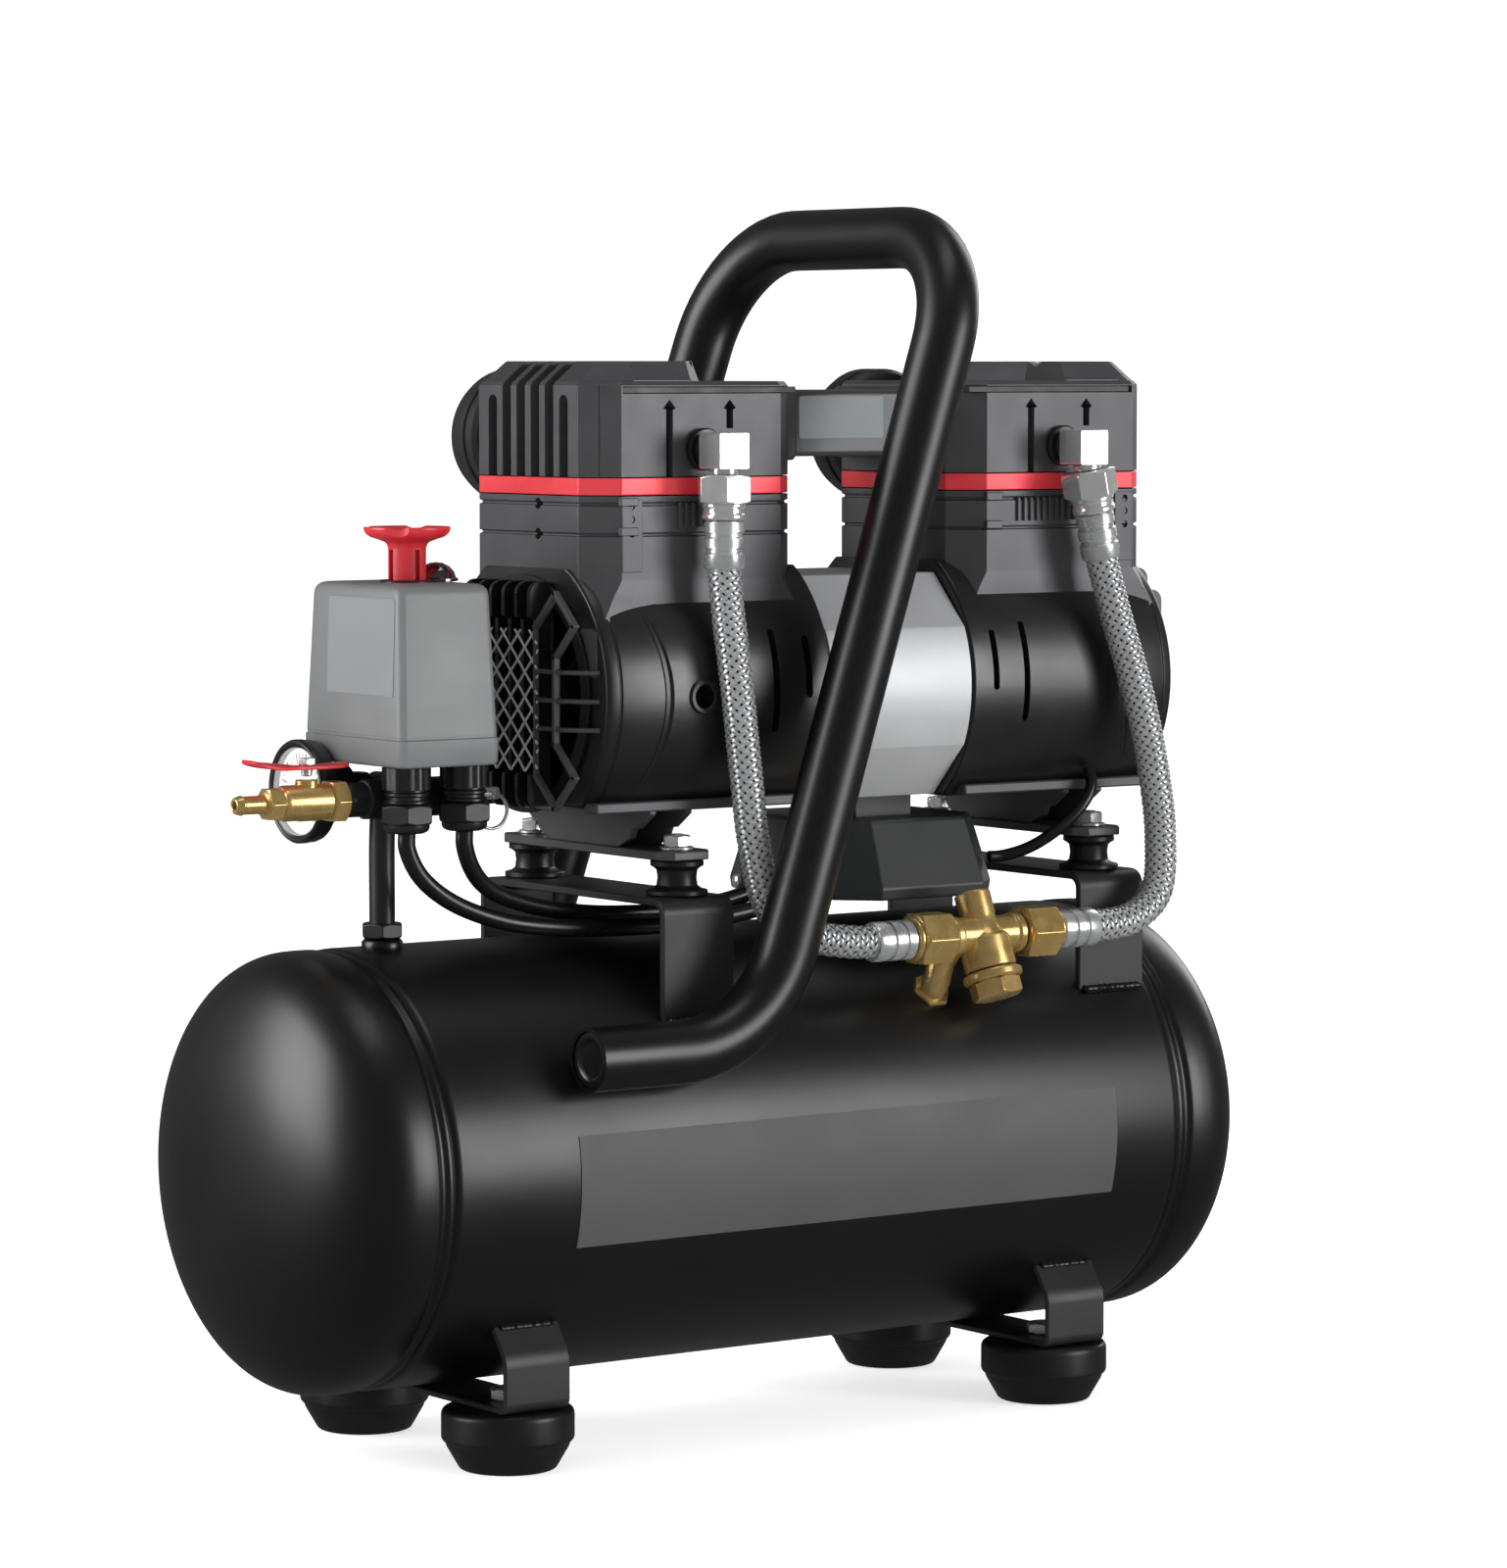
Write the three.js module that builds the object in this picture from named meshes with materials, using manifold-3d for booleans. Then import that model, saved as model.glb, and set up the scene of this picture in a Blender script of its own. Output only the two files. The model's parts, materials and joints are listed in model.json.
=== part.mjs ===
// Portable twin-cylinder oil-free air compressor: a horizontal tank on four rubber feet, two
// piston units driven by one motor between them, and a pressure switch with its outlet tap.
// Millimetres. +X runs along the tank towards the right-hand unit, -Y is the hose side and
// +Z is up. The origin is on the floor under the middle of the tank.
import * as THREE from "three";
import { mergeVertices } from "three/addons/utils/BufferGeometryUtils.js";
import Module from "manifold-3d";

const wasm = await Module();
wasm.setup();

// ---------------------------------------------------------------- driving dimensions
const GAP = 0.3; // left between pieces that rest on each other
const TANK = { radius: 85, axisZ: 112, half: 226, wall: 2.5, seamX: 175, shoulder: 187 };
const TANK_TOP = TANK.axisZ + TANK.radius;
const FOOT = { x: 130, y: 52, height: 24, radius: 25.6 };
const BRACKET = { width: 29, plateY: 72, thick: 2.4 };
const HANDLE = { radius: 12.5, lowZ: 158.6, lowY: 86, endX: -116, topZ: 470, topY: 80.8 };
HANDLE.lean = 0.335; // sideways travel of the leg for each unit of height
HANDLE.footX = -35.6;
const BRIDGE = { width: 33, topZ: 215, halfY: 65, thick: 3 };
const MOTOR = { x: 52.5, z: 292, radius: 60, flankY: 55, flankZ: 24, topY: 34, height: 45.5 };
const UNIT = 88.5; // distance of each piston unit's centre line from the motor's middle
const SPAN = { stator: 34.5, case: 139.5, guard: 150.5 }; // half lengths, from the middle
const BLOCK = { halfX: 49.6, halfY: 47, chamfer: 12, topZ: 369.2 };
const GASKET_TOP = 376.2;
const HEAD = { sideZ: 413.8, topZ: 421, lidInset: 6, lidReach: 8 };
const BORE = { piston: 24.6, sleeve: 25, sleeveOuter: 27.5 };
const CRANK = { throw: 6, shaft: 6, disc: 13, eyeInner: 25.6, eyeOuter: 29, width: 11 };
const MOUNT = { y: 50, plateZ: 229, plateTop: 232.5 };
const ELBOW = { y: -62, z: 387, block: 14, nutTop: 9.6, nutEnd: 27 };
const HOSE = { radius: 6.3, ferrule: 8, ferruleLength: 19 };
const VALVE = { x: 81, y: -73.6, z: 194 };
const SWITCH = { x: -144, halfX: 22.5, halfY: 36, baseZ: 267.5, splitZ: 278.2, topZ: 336.5 };
const COVER_TOP = [20.5, 32]; // half sizes of the switch cover where it ends
const KNOB_X = -140;
const PORT = { y: -3.4, z: 254 }; // the manifold's axis, which the tap and safety valve share
const RISER_X = -153;
const TAP = { tip: -220.5, end: -172.6, stemX: -188.4 };
const GAUGE = { x: -176.5, rimBack: -167.2, back: -152, y: 26, z: 255.8, radius: 20.2, neck: 10.5 };
const GLAND = { y: -22, radius: 8, lowZ: 242 };
const RING = { x: -105, radius: 7.2, wire: 0.9 };
const DRAIN = { x: 0, hole: 6.3 };
const SIDES = { left: -1, right: 1 };

// ---------------------------------------------------------------- solids
const X = new THREE.Vector3(1, 0, 0);
const Y = new THREE.Vector3(0, 1, 0);
const Z = new THREE.Vector3(0, 0, 1);

// A closed three.js geometry as a solid that can be joined and cut.
function solid(geometry) {
  geometry.deleteAttribute("normal");
  geometry.deleteAttribute("uv");
  const merged = mergeVertices(geometry, 1e-4);
  const mesh = new wasm.Mesh({
    numProp: 3,
    vertProperties: new Float32Array(merged.attributes.position.array),
    triVerts: new Uint32Array(merged.index.array),
  });
  return new wasm.Manifold(mesh);
}

function geometryOf(shape) {
  const mesh = shape.getMesh();
  const geometry = new THREE.BufferGeometry();
  geometry.setAttribute("position", new THREE.BufferAttribute(mesh.vertProperties, 3));
  geometry.setIndex(new THREE.BufferAttribute(mesh.triVerts, 1));
  geometry.computeVertexNormals();
  return geometry;
}

const join = (first, ...rest) => rest.reduce((sum, shape) => sum.add(shape), first);
const cut = (first, ...rest) => rest.reduce((left, shape) => left.subtract(shape), first);

// A box from three ranges.
function box([x0, x1], [y0, y1], [z0, z1]) {
  const geometry = new THREE.BoxGeometry(x1 - x0, y1 - y0, z1 - z0);
  return solid(geometry.translate((x0 + x1) / 2, (y0 + y1) / 2, (z0 + z1) / 2));
}

// A cylinder, cone or hexagon from one point to another.
function rod(radius, from, to, sides = 16, endRadius = radius) {
  const start = new THREE.Vector3(...from);
  const way = new THREE.Vector3(...to).sub(start);
  const geometry = new THREE.CylinderGeometry(endRadius, radius, way.length(), sides);
  geometry.translate(0, way.length() / 2, 0);
  geometry.applyQuaternion(new THREE.Quaternion().setFromUnitVectors(Y, way.normalize()));
  return solid(geometry.translate(start.x, start.y, start.z));
}

const rodX = (radius, x0, x1, y, z, sides) => rod(radius, [x0, y, z], [x1, y, z], sides);
const rodY = (radius, y0, y1, x, z, sides) => rod(radius, [x, y0, z], [x, y1, z], sides);
const rodZ = (radius, z0, z1, x, y, sides) => rod(radius, [x, y, z0], [x, y, z1], sides);

// A closed profile of [radius, height] points, turned about +Z or another axis.
function turned(profile, segments, axis = Z) {
  const points = profile.map(([radius, height]) => new THREE.Vector2(radius, height));
  const geometry = new THREE.LatheGeometry(points, segments);
  return solid(geometry.applyQuaternion(new THREE.Quaternion().setFromUnitVectors(Y, axis)));
}

// An outline in the plane square to one axis, extruded over a range of that axis.
const LAYS = {
  X: new THREE.Matrix4().makeBasis(Y, Z, X),
  Y: new THREE.Matrix4().makeBasis(Z, X, Y),
  Z: new THREE.Matrix4(),
};

function prism(axis, outline, [from, to]) {
  const points = outline.map(([a, b]) => new THREE.Vector2(a, b));
  const geometry = new THREE.ExtrudeGeometry(new THREE.Shape(points), {
    depth: to - from,
    bevelEnabled: false,
  });
  return solid(geometry.translate(0, 0, from).applyMatrix4(LAYS[axis]));
}

// A round tube along a smooth line through the points.
function tube(radius, points, steps, sides = 10) {
  const curve = new THREE.CatmullRomCurve3(points.map((point) => new THREE.Vector3(...point)));
  return sweep(radius, curve, steps, sides);
}

function sweep(radius, curve, steps, sides) {
  const section = new THREE.Shape();
  for (let i = 0; i < sides; i++) {
    const angle = (2 * Math.PI * i) / sides;
    const place = [radius * Math.cos(angle), radius * Math.sin(angle)];
    if (i === 0) section.moveTo(...place);
    else section.lineTo(...place);
  }
  return solid(new THREE.ExtrudeGeometry(section, { steps, extrudePath: curve }));
}

// Sheet metal bent along a path of [a, b] points, as an outline of constant thickness.
function sheetOutline(path, thick) {
  const normals = path.slice(1).map(([a, b], i) => {
    const [da, db] = [a - path[i][0], b - path[i][1]];
    const length = Math.hypot(da, db);
    return [-db / length, da / length];
  });
  const side = (sign) =>
    path.map(([a, b], i) => {
      const before = normals[Math.max(i - 1, 0)];
      const after = normals[Math.min(i, normals.length - 1)];
      const sum = [before[0] + after[0], before[1] + after[1]];
      const scale = (sign * thick) / (sum[0] * sum[0] + sum[1] * sum[1]);
      return [a + sum[0] * scale, b + sum[1] * scale];
    });
  return [...side(1), ...side(-1).reverse()];
}

function chamferedRectangle(x, halfX, halfY, chamfer) {
  const corners = [];
  for (const [signX, signY] of [[1, 1], [-1, 1], [-1, -1], [1, -1]]) {
    const alongX = [x + signX * halfX, signY * (halfY - chamfer)];
    const alongY = [x + signX * (halfX - chamfer), signY * halfY];
    corners.push(...(signX * signY > 0 ? [alongX, alongY] : [alongY, alongX]));
  }
  return corners;
}

// The range between two distances from the motor's middle, on one side of it.
function spanX(sign, near, far) {
  const ends = [MOTOR.x + sign * near, MOTOR.x + sign * far];
  return ends.sort((a, b) => a - b);
}

const unitX = (sign) => MOTOR.x + sign * UNIT;
const tankBody = rodX(TANK.radius + GAP, -TANK.half, TANK.half, 0, TANK.axisZ, 96);

// ---------------------------------------------------------------- tank and frame
// Half of the tank's section, from the left pole to the right: two dished ends and a joggled
// seam where each end slips into the barrel.
function tankProfile(radius, half, steps, seam) {
  const depth = half - TANK.shoulder;
  const dome = [];
  for (let i = 0; i < steps; i++) {
    const angle = (Math.PI / 2) * (i / steps);
    const across = radius * Math.sin(angle) ** 0.85;
    dome.push([across, -TANK.shoulder - depth * Math.cos(angle) ** 0.85]);
  }
  dome.push([radius, -TANK.shoulder]);
  const left = [...dome, ...seam.map(([dx, drop]) => [radius - drop, -TANK.seamX + dx])];
  return [...left, ...left.map(([r, x]) => [r, -x]).reverse()];
}

// A point at some distance from the tank's axis, on the ray that runs down and back at 45 degrees.
function drainPoint(distance, x = DRAIN.x) {
  const part = distance * Math.SQRT1_2;
  return [x, part, TANK.axisZ - part];
}

function tankShell() {
  const seam = [[-2.5, 0], [0, 0.9], [2.5, 0]];
  const outer = turned(tankProfile(TANK.radius, TANK.half, 6, seam), 36, X);
  const inner = turned(tankProfile(TANK.radius - TANK.wall, TANK.half - TANK.wall, 3, []), 24, X);
  const shell = outer.subtract(inner).translate(0, 0, TANK.axisZ);
  const boss = rod(10, drainPoint(81), drainPoint(89));
  const riserBoss = rodZ(8, TANK_TOP - 3, TANK_TOP + 3, RISER_X, 0);
  const hole = rod(DRAIN.hole, drainPoint(78), drainPoint(90));
  return cut(join(shell, boss, riserBoss), hole);
}

function footBracket(x) {
  const flap = { y: 62.5, z: 56.5 };
  const strip = FOOT.height + GAP + BRACKET.thick / 2;
  const half = [[flap.y, flap.z], [BRACKET.plateY, 45], [BRACKET.plateY, strip]];
  const path = [...half, ...half.map(([y, z]) => [-y, z]).reverse()];
  const range = [x - BRACKET.width / 2, x + BRACKET.width / 2];
  return prism("X", sheetOutline(path, BRACKET.thick), range).subtract(tankBody);
}

function rubberFoot(x, y) {
  const { height, radius } = FOOT;
  const profile = [[0, 0], [17.5, 0], [19.5, 1.6], [24, 9.4], [radius, 10.6], [radius, 22.6]];
  return turned([...profile, [radius - 1.4, height], [0, height]], 20).translate(x, y, 0);
}

// The handle's centre line: a welded foot along the tank, a leaning leg and a cross bar, with
// each corner rounded by a curve that starts and ends at its bend length.
function handlePath() {
  const { lowZ, lowY, endX, topZ, topY, lean, footX } = HANDLE;
  const topX = footX + lean * (topZ - lowZ);
  const near = [[endX, -lowY, lowZ], [footX, -lowY, lowZ], [topX, -topY, topZ]];
  const points = [...near, ...near.map(([x, y, z]) => [x, -y, z]).reverse()];
  const corners = points.map((point) => new THREE.Vector3(...point));
  const bends = [0, 50, 45, 45, 50, 0];
  const path = new THREE.CurvePath();
  let last = corners[0];
  for (let i = 1; i < corners.length - 1; i++) {
    const before = corners[i - 1].clone().sub(corners[i]).setLength(bends[i]).add(corners[i]);
    const after = corners[i + 1].clone().sub(corners[i]).setLength(bends[i]).add(corners[i]);
    path.add(new THREE.LineCurve3(last, before));
    path.add(roundCorner(before, corners[i], after));
    last = after;
  }
  path.add(new THREE.LineCurve3(last, corners[corners.length - 1]));
  return path;
}

// A cubic curve that follows the circle touching both legs of a corner.
function roundCorner(before, corner, after) {
  const turn = Math.PI - before.clone().sub(corner).angleTo(after.clone().sub(corner));
  const pull = (4 / 3) * (Math.tan(turn / 4) / Math.tan(turn / 2));
  const start = before.clone().lerp(corner, pull);
  const end = after.clone().lerp(corner, pull);
  return new THREE.CubicBezierCurve3(before, start, end, after);
}

function handle() {
  return sweep(HANDLE.radius, handlePath(), 44, 20);
}

// An upturned U of sheet metal astride the tank, which carries one end of the motor.
function motorBridge(x) {
  const [y, z] = [BRIDGE.halfY - BRIDGE.thick / 2, BRIDGE.topZ - BRIDGE.thick / 2];
  const path = [[-y, 150], [-y, z], [y, z], [y, 150]];
  const range = [x - BRIDGE.width / 2, x + BRIDGE.width / 2];
  return prism("X", sheetOutline(path, BRIDGE.thick), range).subtract(tankBody);
}

// A bonded rubber mount with its stud and nut: the motor's foot plate is held under the nut.
function rubberMount(x, y) {
  const low = BRIDGE.topZ + GAP;
  const rubberTop = MOUNT.plateZ - GAP;
  const nut = MOUNT.plateTop + GAP;
  const rubber = [[0, low], [12, low], [12, low + 2], [9.5, low + 3], [9.5, rubberTop - 3]];
  const flange = [[12, rubberTop - 2.4], [12, rubberTop], [0, rubberTop]];
  const body = turned([...rubber, ...flange], 12).translate(x, y, 0);
  return join(body, rodZ(3, rubberTop - 1, nut + 1, x, y, 8), rodZ(5.8, nut, nut + 6, x, y, 6));
}

function drainValve() {
  const thread = rod(DRAIN.hole - GAP, drainPoint(83), drainPoint(92));
  const hexagon = rod(9.5, drainPoint(89.3), drainPoint(96), 6);
  const nozzle = rod(6.5, drainPoint(95), drainPoint(104));
  const bore = rod(3.4, drainPoint(90), drainPoint(105), 16);
  return cut(join(thread, hexagon, nozzle), bore);
}

function drainScrew() {
  const stem = rod(3, drainPoint(91), drainPoint(106), 12);
  const cap = rod(7.5, drainPoint(104.4), drainPoint(109), 18);
  const bar = [DRAIN.x - 10, DRAIN.x + 10].map((x) => drainPoint(108, x));
  return join(stem, cap, rod(2, ...bar, 10));
}

// ---------------------------------------------------------------- motor and piston units
// Section of the motor: round flanks with a flat top and bottom and sloping shoulders.
function motorOutline(grow = 0) {
  const flat = MOTOR.height + grow;
  const start = Math.atan2(MOTOR.flankZ, MOTOR.flankY);
  const outline = [[MOTOR.topY, flat], [-MOTOR.topY, flat]];
  for (const middle of [Math.PI, 0]) {
    for (let i = 0; i <= 6; i++) {
      const angle = middle - start + (i / 6) * 2 * start;
      const radius = MOTOR.radius + grow;
      outline.push([radius * Math.cos(angle), radius * Math.sin(angle)]);
    }
    if (middle > 0) outline.push([-MOTOR.topY, -flat], [MOTOR.topY, -flat]);
  }
  return outline.map(([y, z]) => [y, z + MOTOR.z]);
}

function stator() {
  const range = [MOTOR.x - SPAN.stator, MOTOR.x + SPAN.stator];
  const body = prism("X", motorOutline(-0.6), range);
  return cut(body, rodX(31.5, range[0] - 1, range[1] + 1, 0, MOTOR.z, 24));
}

function rotor() {
  const range = [MOTOR.x - 30, MOTOR.x + 30];
  const core = rodX(30.6, ...range, 0, MOTOR.z, 24);
  return cut(core, rodX(CRANK.shaft + GAP, range[0] - 1, range[1] + 1, 0, MOTOR.z, 12));
}

function crankshaft() {
  const shaft = rodX(CRANK.shaft, ...spanX(1, -132, 132), 0, MOTOR.z, 12);
  const discs = Object.values(SIDES).map((sign) => {
    const [from, to] = [unitX(sign) - CRANK.width / 2, unitX(sign) + CRANK.width / 2];
    return rodX(CRANK.disc, from, to, 0, MOTOR.z - sign * CRANK.throw, 24);
  });
  return join(shaft, ...discs);
}

function fan(sign) {
  const [from, to] = spanX(sign, 116, 128);
  const hub = rodX(12, from, to, 0, MOTOR.z, 12);
  const blades = [];
  for (let i = 0; i < 7; i++) {
    const blade = box([from + 1, to - 1], [-1.2, 1.2], [10, 38]);
    const turn = new THREE.Matrix4().makeRotationX((2 * Math.PI * i) / 7);
    const place = new THREE.Matrix4().makeTranslation(0, 0, MOTOR.z).multiply(turn);
    blades.push(blade.transform([...place.elements]));
  }
  return cut(join(hub, ...blades), rodX(CRANK.shaft + GAP, from - 1, to + 1, 0, MOTOR.z, 12));
}

// The crankcase, cast in one with the cylinder block above it and its foot plate below.
function crankcase(sign) {
  const x = unitX(sign);
  const bell = prism("X", motorOutline(), spanX(sign, SPAN.stator + GAP, 66));
  const drumRange = spanX(sign, 64, SPAN.case);
  const drum = rodX(MOTOR.radius, ...drumRange, 0, MOTOR.z, 32);
  const room = box(drumRange, [-70, 70], [MOTOR.z - MOTOR.height, MOTOR.z + 50]);
  const outline = chamferedRectangle(x, BLOCK.halfX, BLOCK.halfY, BLOCK.chamfer);
  const block = prism("Z", outline, [322, BLOCK.topZ]);
  const mountX = mountPlace(sign);
  const plate = box([mountX - 12, mountX + 12], [-60, 60], [MOUNT.plateZ, MOUNT.plateTop]);
  const web = box([mountX - 10, mountX + 10], [-34, 34], [MOUNT.plateTop - 1, 250]);
  const holes = [-1, 1].map((y) => rodZ(3.6, 220, 240, mountX, y * MOUNT.y, 8));
  const cavity = rodX(43, ...spanX(sign, 46, 145), 0, MOTOR.z, 24);
  const cylinder = rodZ(BORE.sleeveOuter + GAP, 300, 380, x, 0, 20);
  const bush = rodX(CRANK.shaft + GAP, ...spanX(sign, 30, 50), 0, MOTOR.z, 12);
  const port = rodY(5, -70, -30, MOTOR.x + sign * 96.5, MOTOR.z, 12);
  return cut(join(bell, drum.intersect(room), block, plate, web), cavity, cylinder, bush, port, ...holes);
}

function mountPlace(sign) {
  return sign < 0 ? -50 : 154;
}

// The louvred guard over the fan at the outer end of each crankcase.
function endCover(sign) {
  const range = spanX(sign, SPAN.case + GAP, SPAN.guard);
  const outline = [[-46, 20], [-28, 40], [28, 40], [46, 20], [46, -20], [28, -40], [-28, -40]];
  const guard = prism("X", [...outline, [-46, -20]].map(([y, z]) => [y, z + MOTOR.z]), range);
  const slots = [];
  for (let i = -3; i <= 3; i++) {
    const y = i * 9;
    slots.push(box([range[0] - 1, range[1] + 1], [y - 2.6, y + 2.6], [MOTOR.z - 26, MOTOR.z + 26]));
  }
  return cut(guard, ...slots);
}

function sleeve(sign) {
  const x = unitX(sign);
  const wall = rodZ(BORE.sleeveOuter, 335, BLOCK.topZ, x, 0, 20);
  return cut(wall, rodZ(BORE.sleeve, 330, 375, x, 0, 20));
}

// A wobble piston: the cup head and its rod are one piece, with an eye round the crank disc.
function piston(sign) {
  const x = unitX(sign);
  const crankZ = MOTOR.z - sign * CRANK.throw;
  const [from, to] = [x - CRANK.width / 2, x + CRANK.width / 2];
  const eye = rodX(CRANK.eyeOuter, from, to, 0, crankZ, 20);
  const hole = rodX(CRANK.eyeInner, from - 1, to + 1, 0, crankZ, 20);
  const crown = crankZ + 68.6;
  const rib = box([from + 1, to - 1], [-8, 8], [crankZ + CRANK.eyeInner + 1.2, crown - 7]);
  return join(cut(eye, hole), rib, rodZ(BORE.piston, crown - 8, crown, x, 0, 20));
}

function gasket(sign) {
  const x = unitX(sign);
  const outline = chamferedRectangle(x, BLOCK.halfX, BLOCK.halfY, BLOCK.chamfer);
  const frame = prism("Z", outline, [BLOCK.topZ + GAP, GASKET_TOP]);
  return cut(frame, rodZ(BORE.sleeve - 1, 365, 380, x, 0, 20));
}

// The head: a finned casting with a raised lid and a valve chamber that opens downwards.
function cylinderHead(sign) {
  const x = unitX(sign);
  const outline = chamferedRectangle(x, BLOCK.halfX, BLOCK.halfY, BLOCK.chamfer);
  const sides = prism("Z", outline, [GASKET_TOP + GAP, HEAD.sideZ]);
  // the lid runs from the outer end to just past the cylinder's middle
  const lidHalf = (BLOCK.halfX - HEAD.lidInset + HEAD.lidReach) / 2;
  const lidX = x + sign * (lidHalf - HEAD.lidReach);
  const lidOutline = chamferedRectangle(lidX, lidHalf, BLOCK.halfY - HEAD.lidInset, BLOCK.chamfer - 4);
  const lid = prism("Z", lidOutline, [HEAD.sideZ - 1, HEAD.topZ]);
  const chamber = box([x - 30, x + 30], [-30, 30], [370, 405]);
  const grooves = [];
  const outer = x + sign * BLOCK.halfX;
  for (let i = -2; i <= 2; i++) {
    const reach = [outer - 6, outer + 6];
    grooves.push(box(reach, [i * 10 - 3, i * 10 + 3], [GASKET_TOP + 4, HEAD.topZ + 1]));
  }
  return cut(join(sides, lid), chamber, ...grooves);
}

function silencer(sign) {
  const x = unitX(sign) - 14;
  const can = rodY(27, 52, 75, x, 391, 24);
  return join(can, rodY(12, BLOCK.halfY + GAP, 53, x, 391, 12));
}

function crossoverDuct() {
  const gap = unitX(1) - BLOCK.halfX - GAP;
  return box([unitX(-1) + BLOCK.halfX + GAP, gap], [-33, 33], [382, 411]);
}

// ---------------------------------------------------------------- delivery hoses and check valve
// A point on the way down from an elbow; the right-hand one leans outwards.
function dropPoint(sign, distance) {
  const lean = sign > 0 ? 0.2 : 0;
  const fall = Math.sqrt(1 - lean * lean);
  return [unitX(sign) + lean * distance, ELBOW.y, ELBOW.z - fall * distance];
}

function elbow(sign) {
  const x = unitX(sign);
  const half = ELBOW.block / 2;
  const boss = rodY(7, ELBOW.y, -BLOCK.halfY - GAP, x, ELBOW.z, 12);
  const block = box([x - half, x + half], [ELBOW.y - half, ELBOW.y + half], [ELBOW.z - 7.5, ELBOW.z + 6.5]);
  const stub = rod(5, dropPoint(sign, 0), dropPoint(sign, 17), 10);
  return join(boss, block, stub);
}

function swivelNut(from, to) {
  const start = new THREE.Vector3(...from);
  const end = new THREE.Vector3(...to);
  const past = (a, b) => a.clone().add(a.clone().sub(b).setLength(1)).toArray();
  return cut(rod(11.2, from, to, 6), rod(5.5, past(start, end), past(end, start), 10));
}

// A braided hose: a tail inside each swivel nut, a crimped ferrule and the hose between them.
function hose(top, bottom, points) {
  const parts = [tube(HOSE.radius, [top.inner, ...points, bottom.inner], 22, 10)];
  for (const end of [top, bottom]) {
    parts.push(rod(5, end.tail, end.inner, 10));
    parts.push(rod(HOSE.ferrule, end.mouth, end.inner, 14));
  }
  return join(...parts);
}

function dropEnd(sign) {
  return {
    tail: dropPoint(sign, 17.6),
    mouth: dropPoint(sign, ELBOW.nutEnd + GAP),
    inner: dropPoint(sign, ELBOW.nutEnd + HOSE.ferruleLength),
  };
}

// The hose's end at the check valve, at a distance to one side of the valve's middle.
function valveEnd(sign) {
  const at = (distance) => [VALVE.x + sign * distance, VALVE.y, VALVE.z];
  return { tail: at(27), mouth: at(36.8), inner: at(54) };
}

const HOSE_POINTS = {
  left: [[-36, -63.5, 330], [-35, -69, 296], [-30, -68, 262], [-24, -65.5, 233], [-14, -64, 207],
    [2, -66.5, 197.5], [17, -71, 194.6]],
  right: [[155, -66, 318], [162, -71, 288], [168.5, -73, 258], [171.5, -74.5, 230],
    [167, -77, 206], [154, -76.5, 196.5]],
};

function hoseNutBottom(sign) {
  const at = (distance) => [VALVE.x + sign * distance, VALVE.y, VALVE.z];
  return swivelNut(at(18), at(36.5));
}

// A point on the axis of the check valve's leaning barrel; positive distances run downwards.
function barrelPoint(distance) {
  const way = new THREE.Vector3(0.05, -0.34, -0.94).setLength(distance);
  return [VALVE.x + way.x, VALVE.y + way.y, VALVE.z + way.z];
}

// The check valve: a tee between the two hoses, its leaning barrel and the port into the tank.
function checkValveBody() {
  const { x, y, z } = VALVE;
  const run = rodX(7.5, x - 17.7, x + 17.7, y, z, 14);
  const spigots = rodX(5, x - 26.5, x + 26.5, y, z, 10);
  const barrel = rod(10.5, barrelPoint(0.5), barrelPoint(15), 16);
  const stub = rod(6.3, barrelPoint(0.5), barrelPoint(-17.5), 12);
  const bend = [x - 16, y + 10, z - 20];
  const elbowPort = rod(5.5, [x - 8, y + 4, z - 3], bend, 10);
  const toAxis = [bend[0], bend[1] * 0.85, TANK.axisZ + (bend[2] - TANK.axisZ) * 0.85];
  const port = rod(7, bend, toAxis, 12);
  return join(run, spigots, barrel, stub, elbowPort, port).subtract(tankBody);
}

function checkValveCap() {
  const ring = rod(12, barrelPoint(15 + GAP), barrelPoint(19), 16);
  return join(ring, rod(10.8, barrelPoint(18), barrelPoint(26.5), 6));
}

// ---------------------------------------------------------------- switch, gauge, tap and wiring
function riserManifold() {
  const post = rodZ(5, TANK_TOP + 3 + GAP, PORT.z, RISER_X, 0, 12);
  const run = rodX(6.6, TAP.end + GAP, RING.x - 22, PORT.y, PORT.z);
  const branch = rodY(5.5, PORT.y, GAUGE.y, SWITCH.x + 4, GAUGE.z + 1, 10);
  const gaugePort = rodX(5, GAUGE.back + GAP, SWITCH.x + 8, GAUGE.y, GAUGE.z, 10);
  const neck = rodZ(6.5, PORT.z, SWITCH.baseZ - GAP, SWITCH.x, PORT.y + 2, 10);
  return join(post, run, branch, gaugePort, neck);
}

function gaugeCase() {
  const rim = rodX(GAUGE.radius, GAUGE.x, GAUGE.rimBack, GAUGE.y, GAUGE.z, 32);
  const neck = rodX(GAUGE.neck, GAUGE.rimBack - 1, GAUGE.back, GAUGE.y, GAUGE.z, 16);
  return cut(join(rim, neck), rodX(GAUGE.radius - 2, GAUGE.x - 1, GAUGE.x + 4, GAUGE.y, GAUGE.z, 24));
}

function gaugeNeedle() {
  const hub = rodX(2, GAUGE.x + 1.4, GAUGE.x + 3.6, GAUGE.y, GAUGE.z, 10);
  const blade = prism(
    "X",
    [[1.4, 1], [-1.4, 1], [-0.4, -14], [0.4, -14]].map(([y, z]) => [y + GAUGE.y, z + GAUGE.z]),
    [GAUGE.x + 1.8, GAUGE.x + 2.8],
  );
  const turn = new THREE.Matrix4().makeTranslation(0, GAUGE.y, GAUGE.z);
  turn.multiply(new THREE.Matrix4().makeRotationX(-Math.PI / 4));
  turn.multiply(new THREE.Matrix4().makeTranslation(0, -GAUGE.y, -GAUGE.z));
  return join(hub, blade.transform([...turn.elements]));
}

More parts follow.
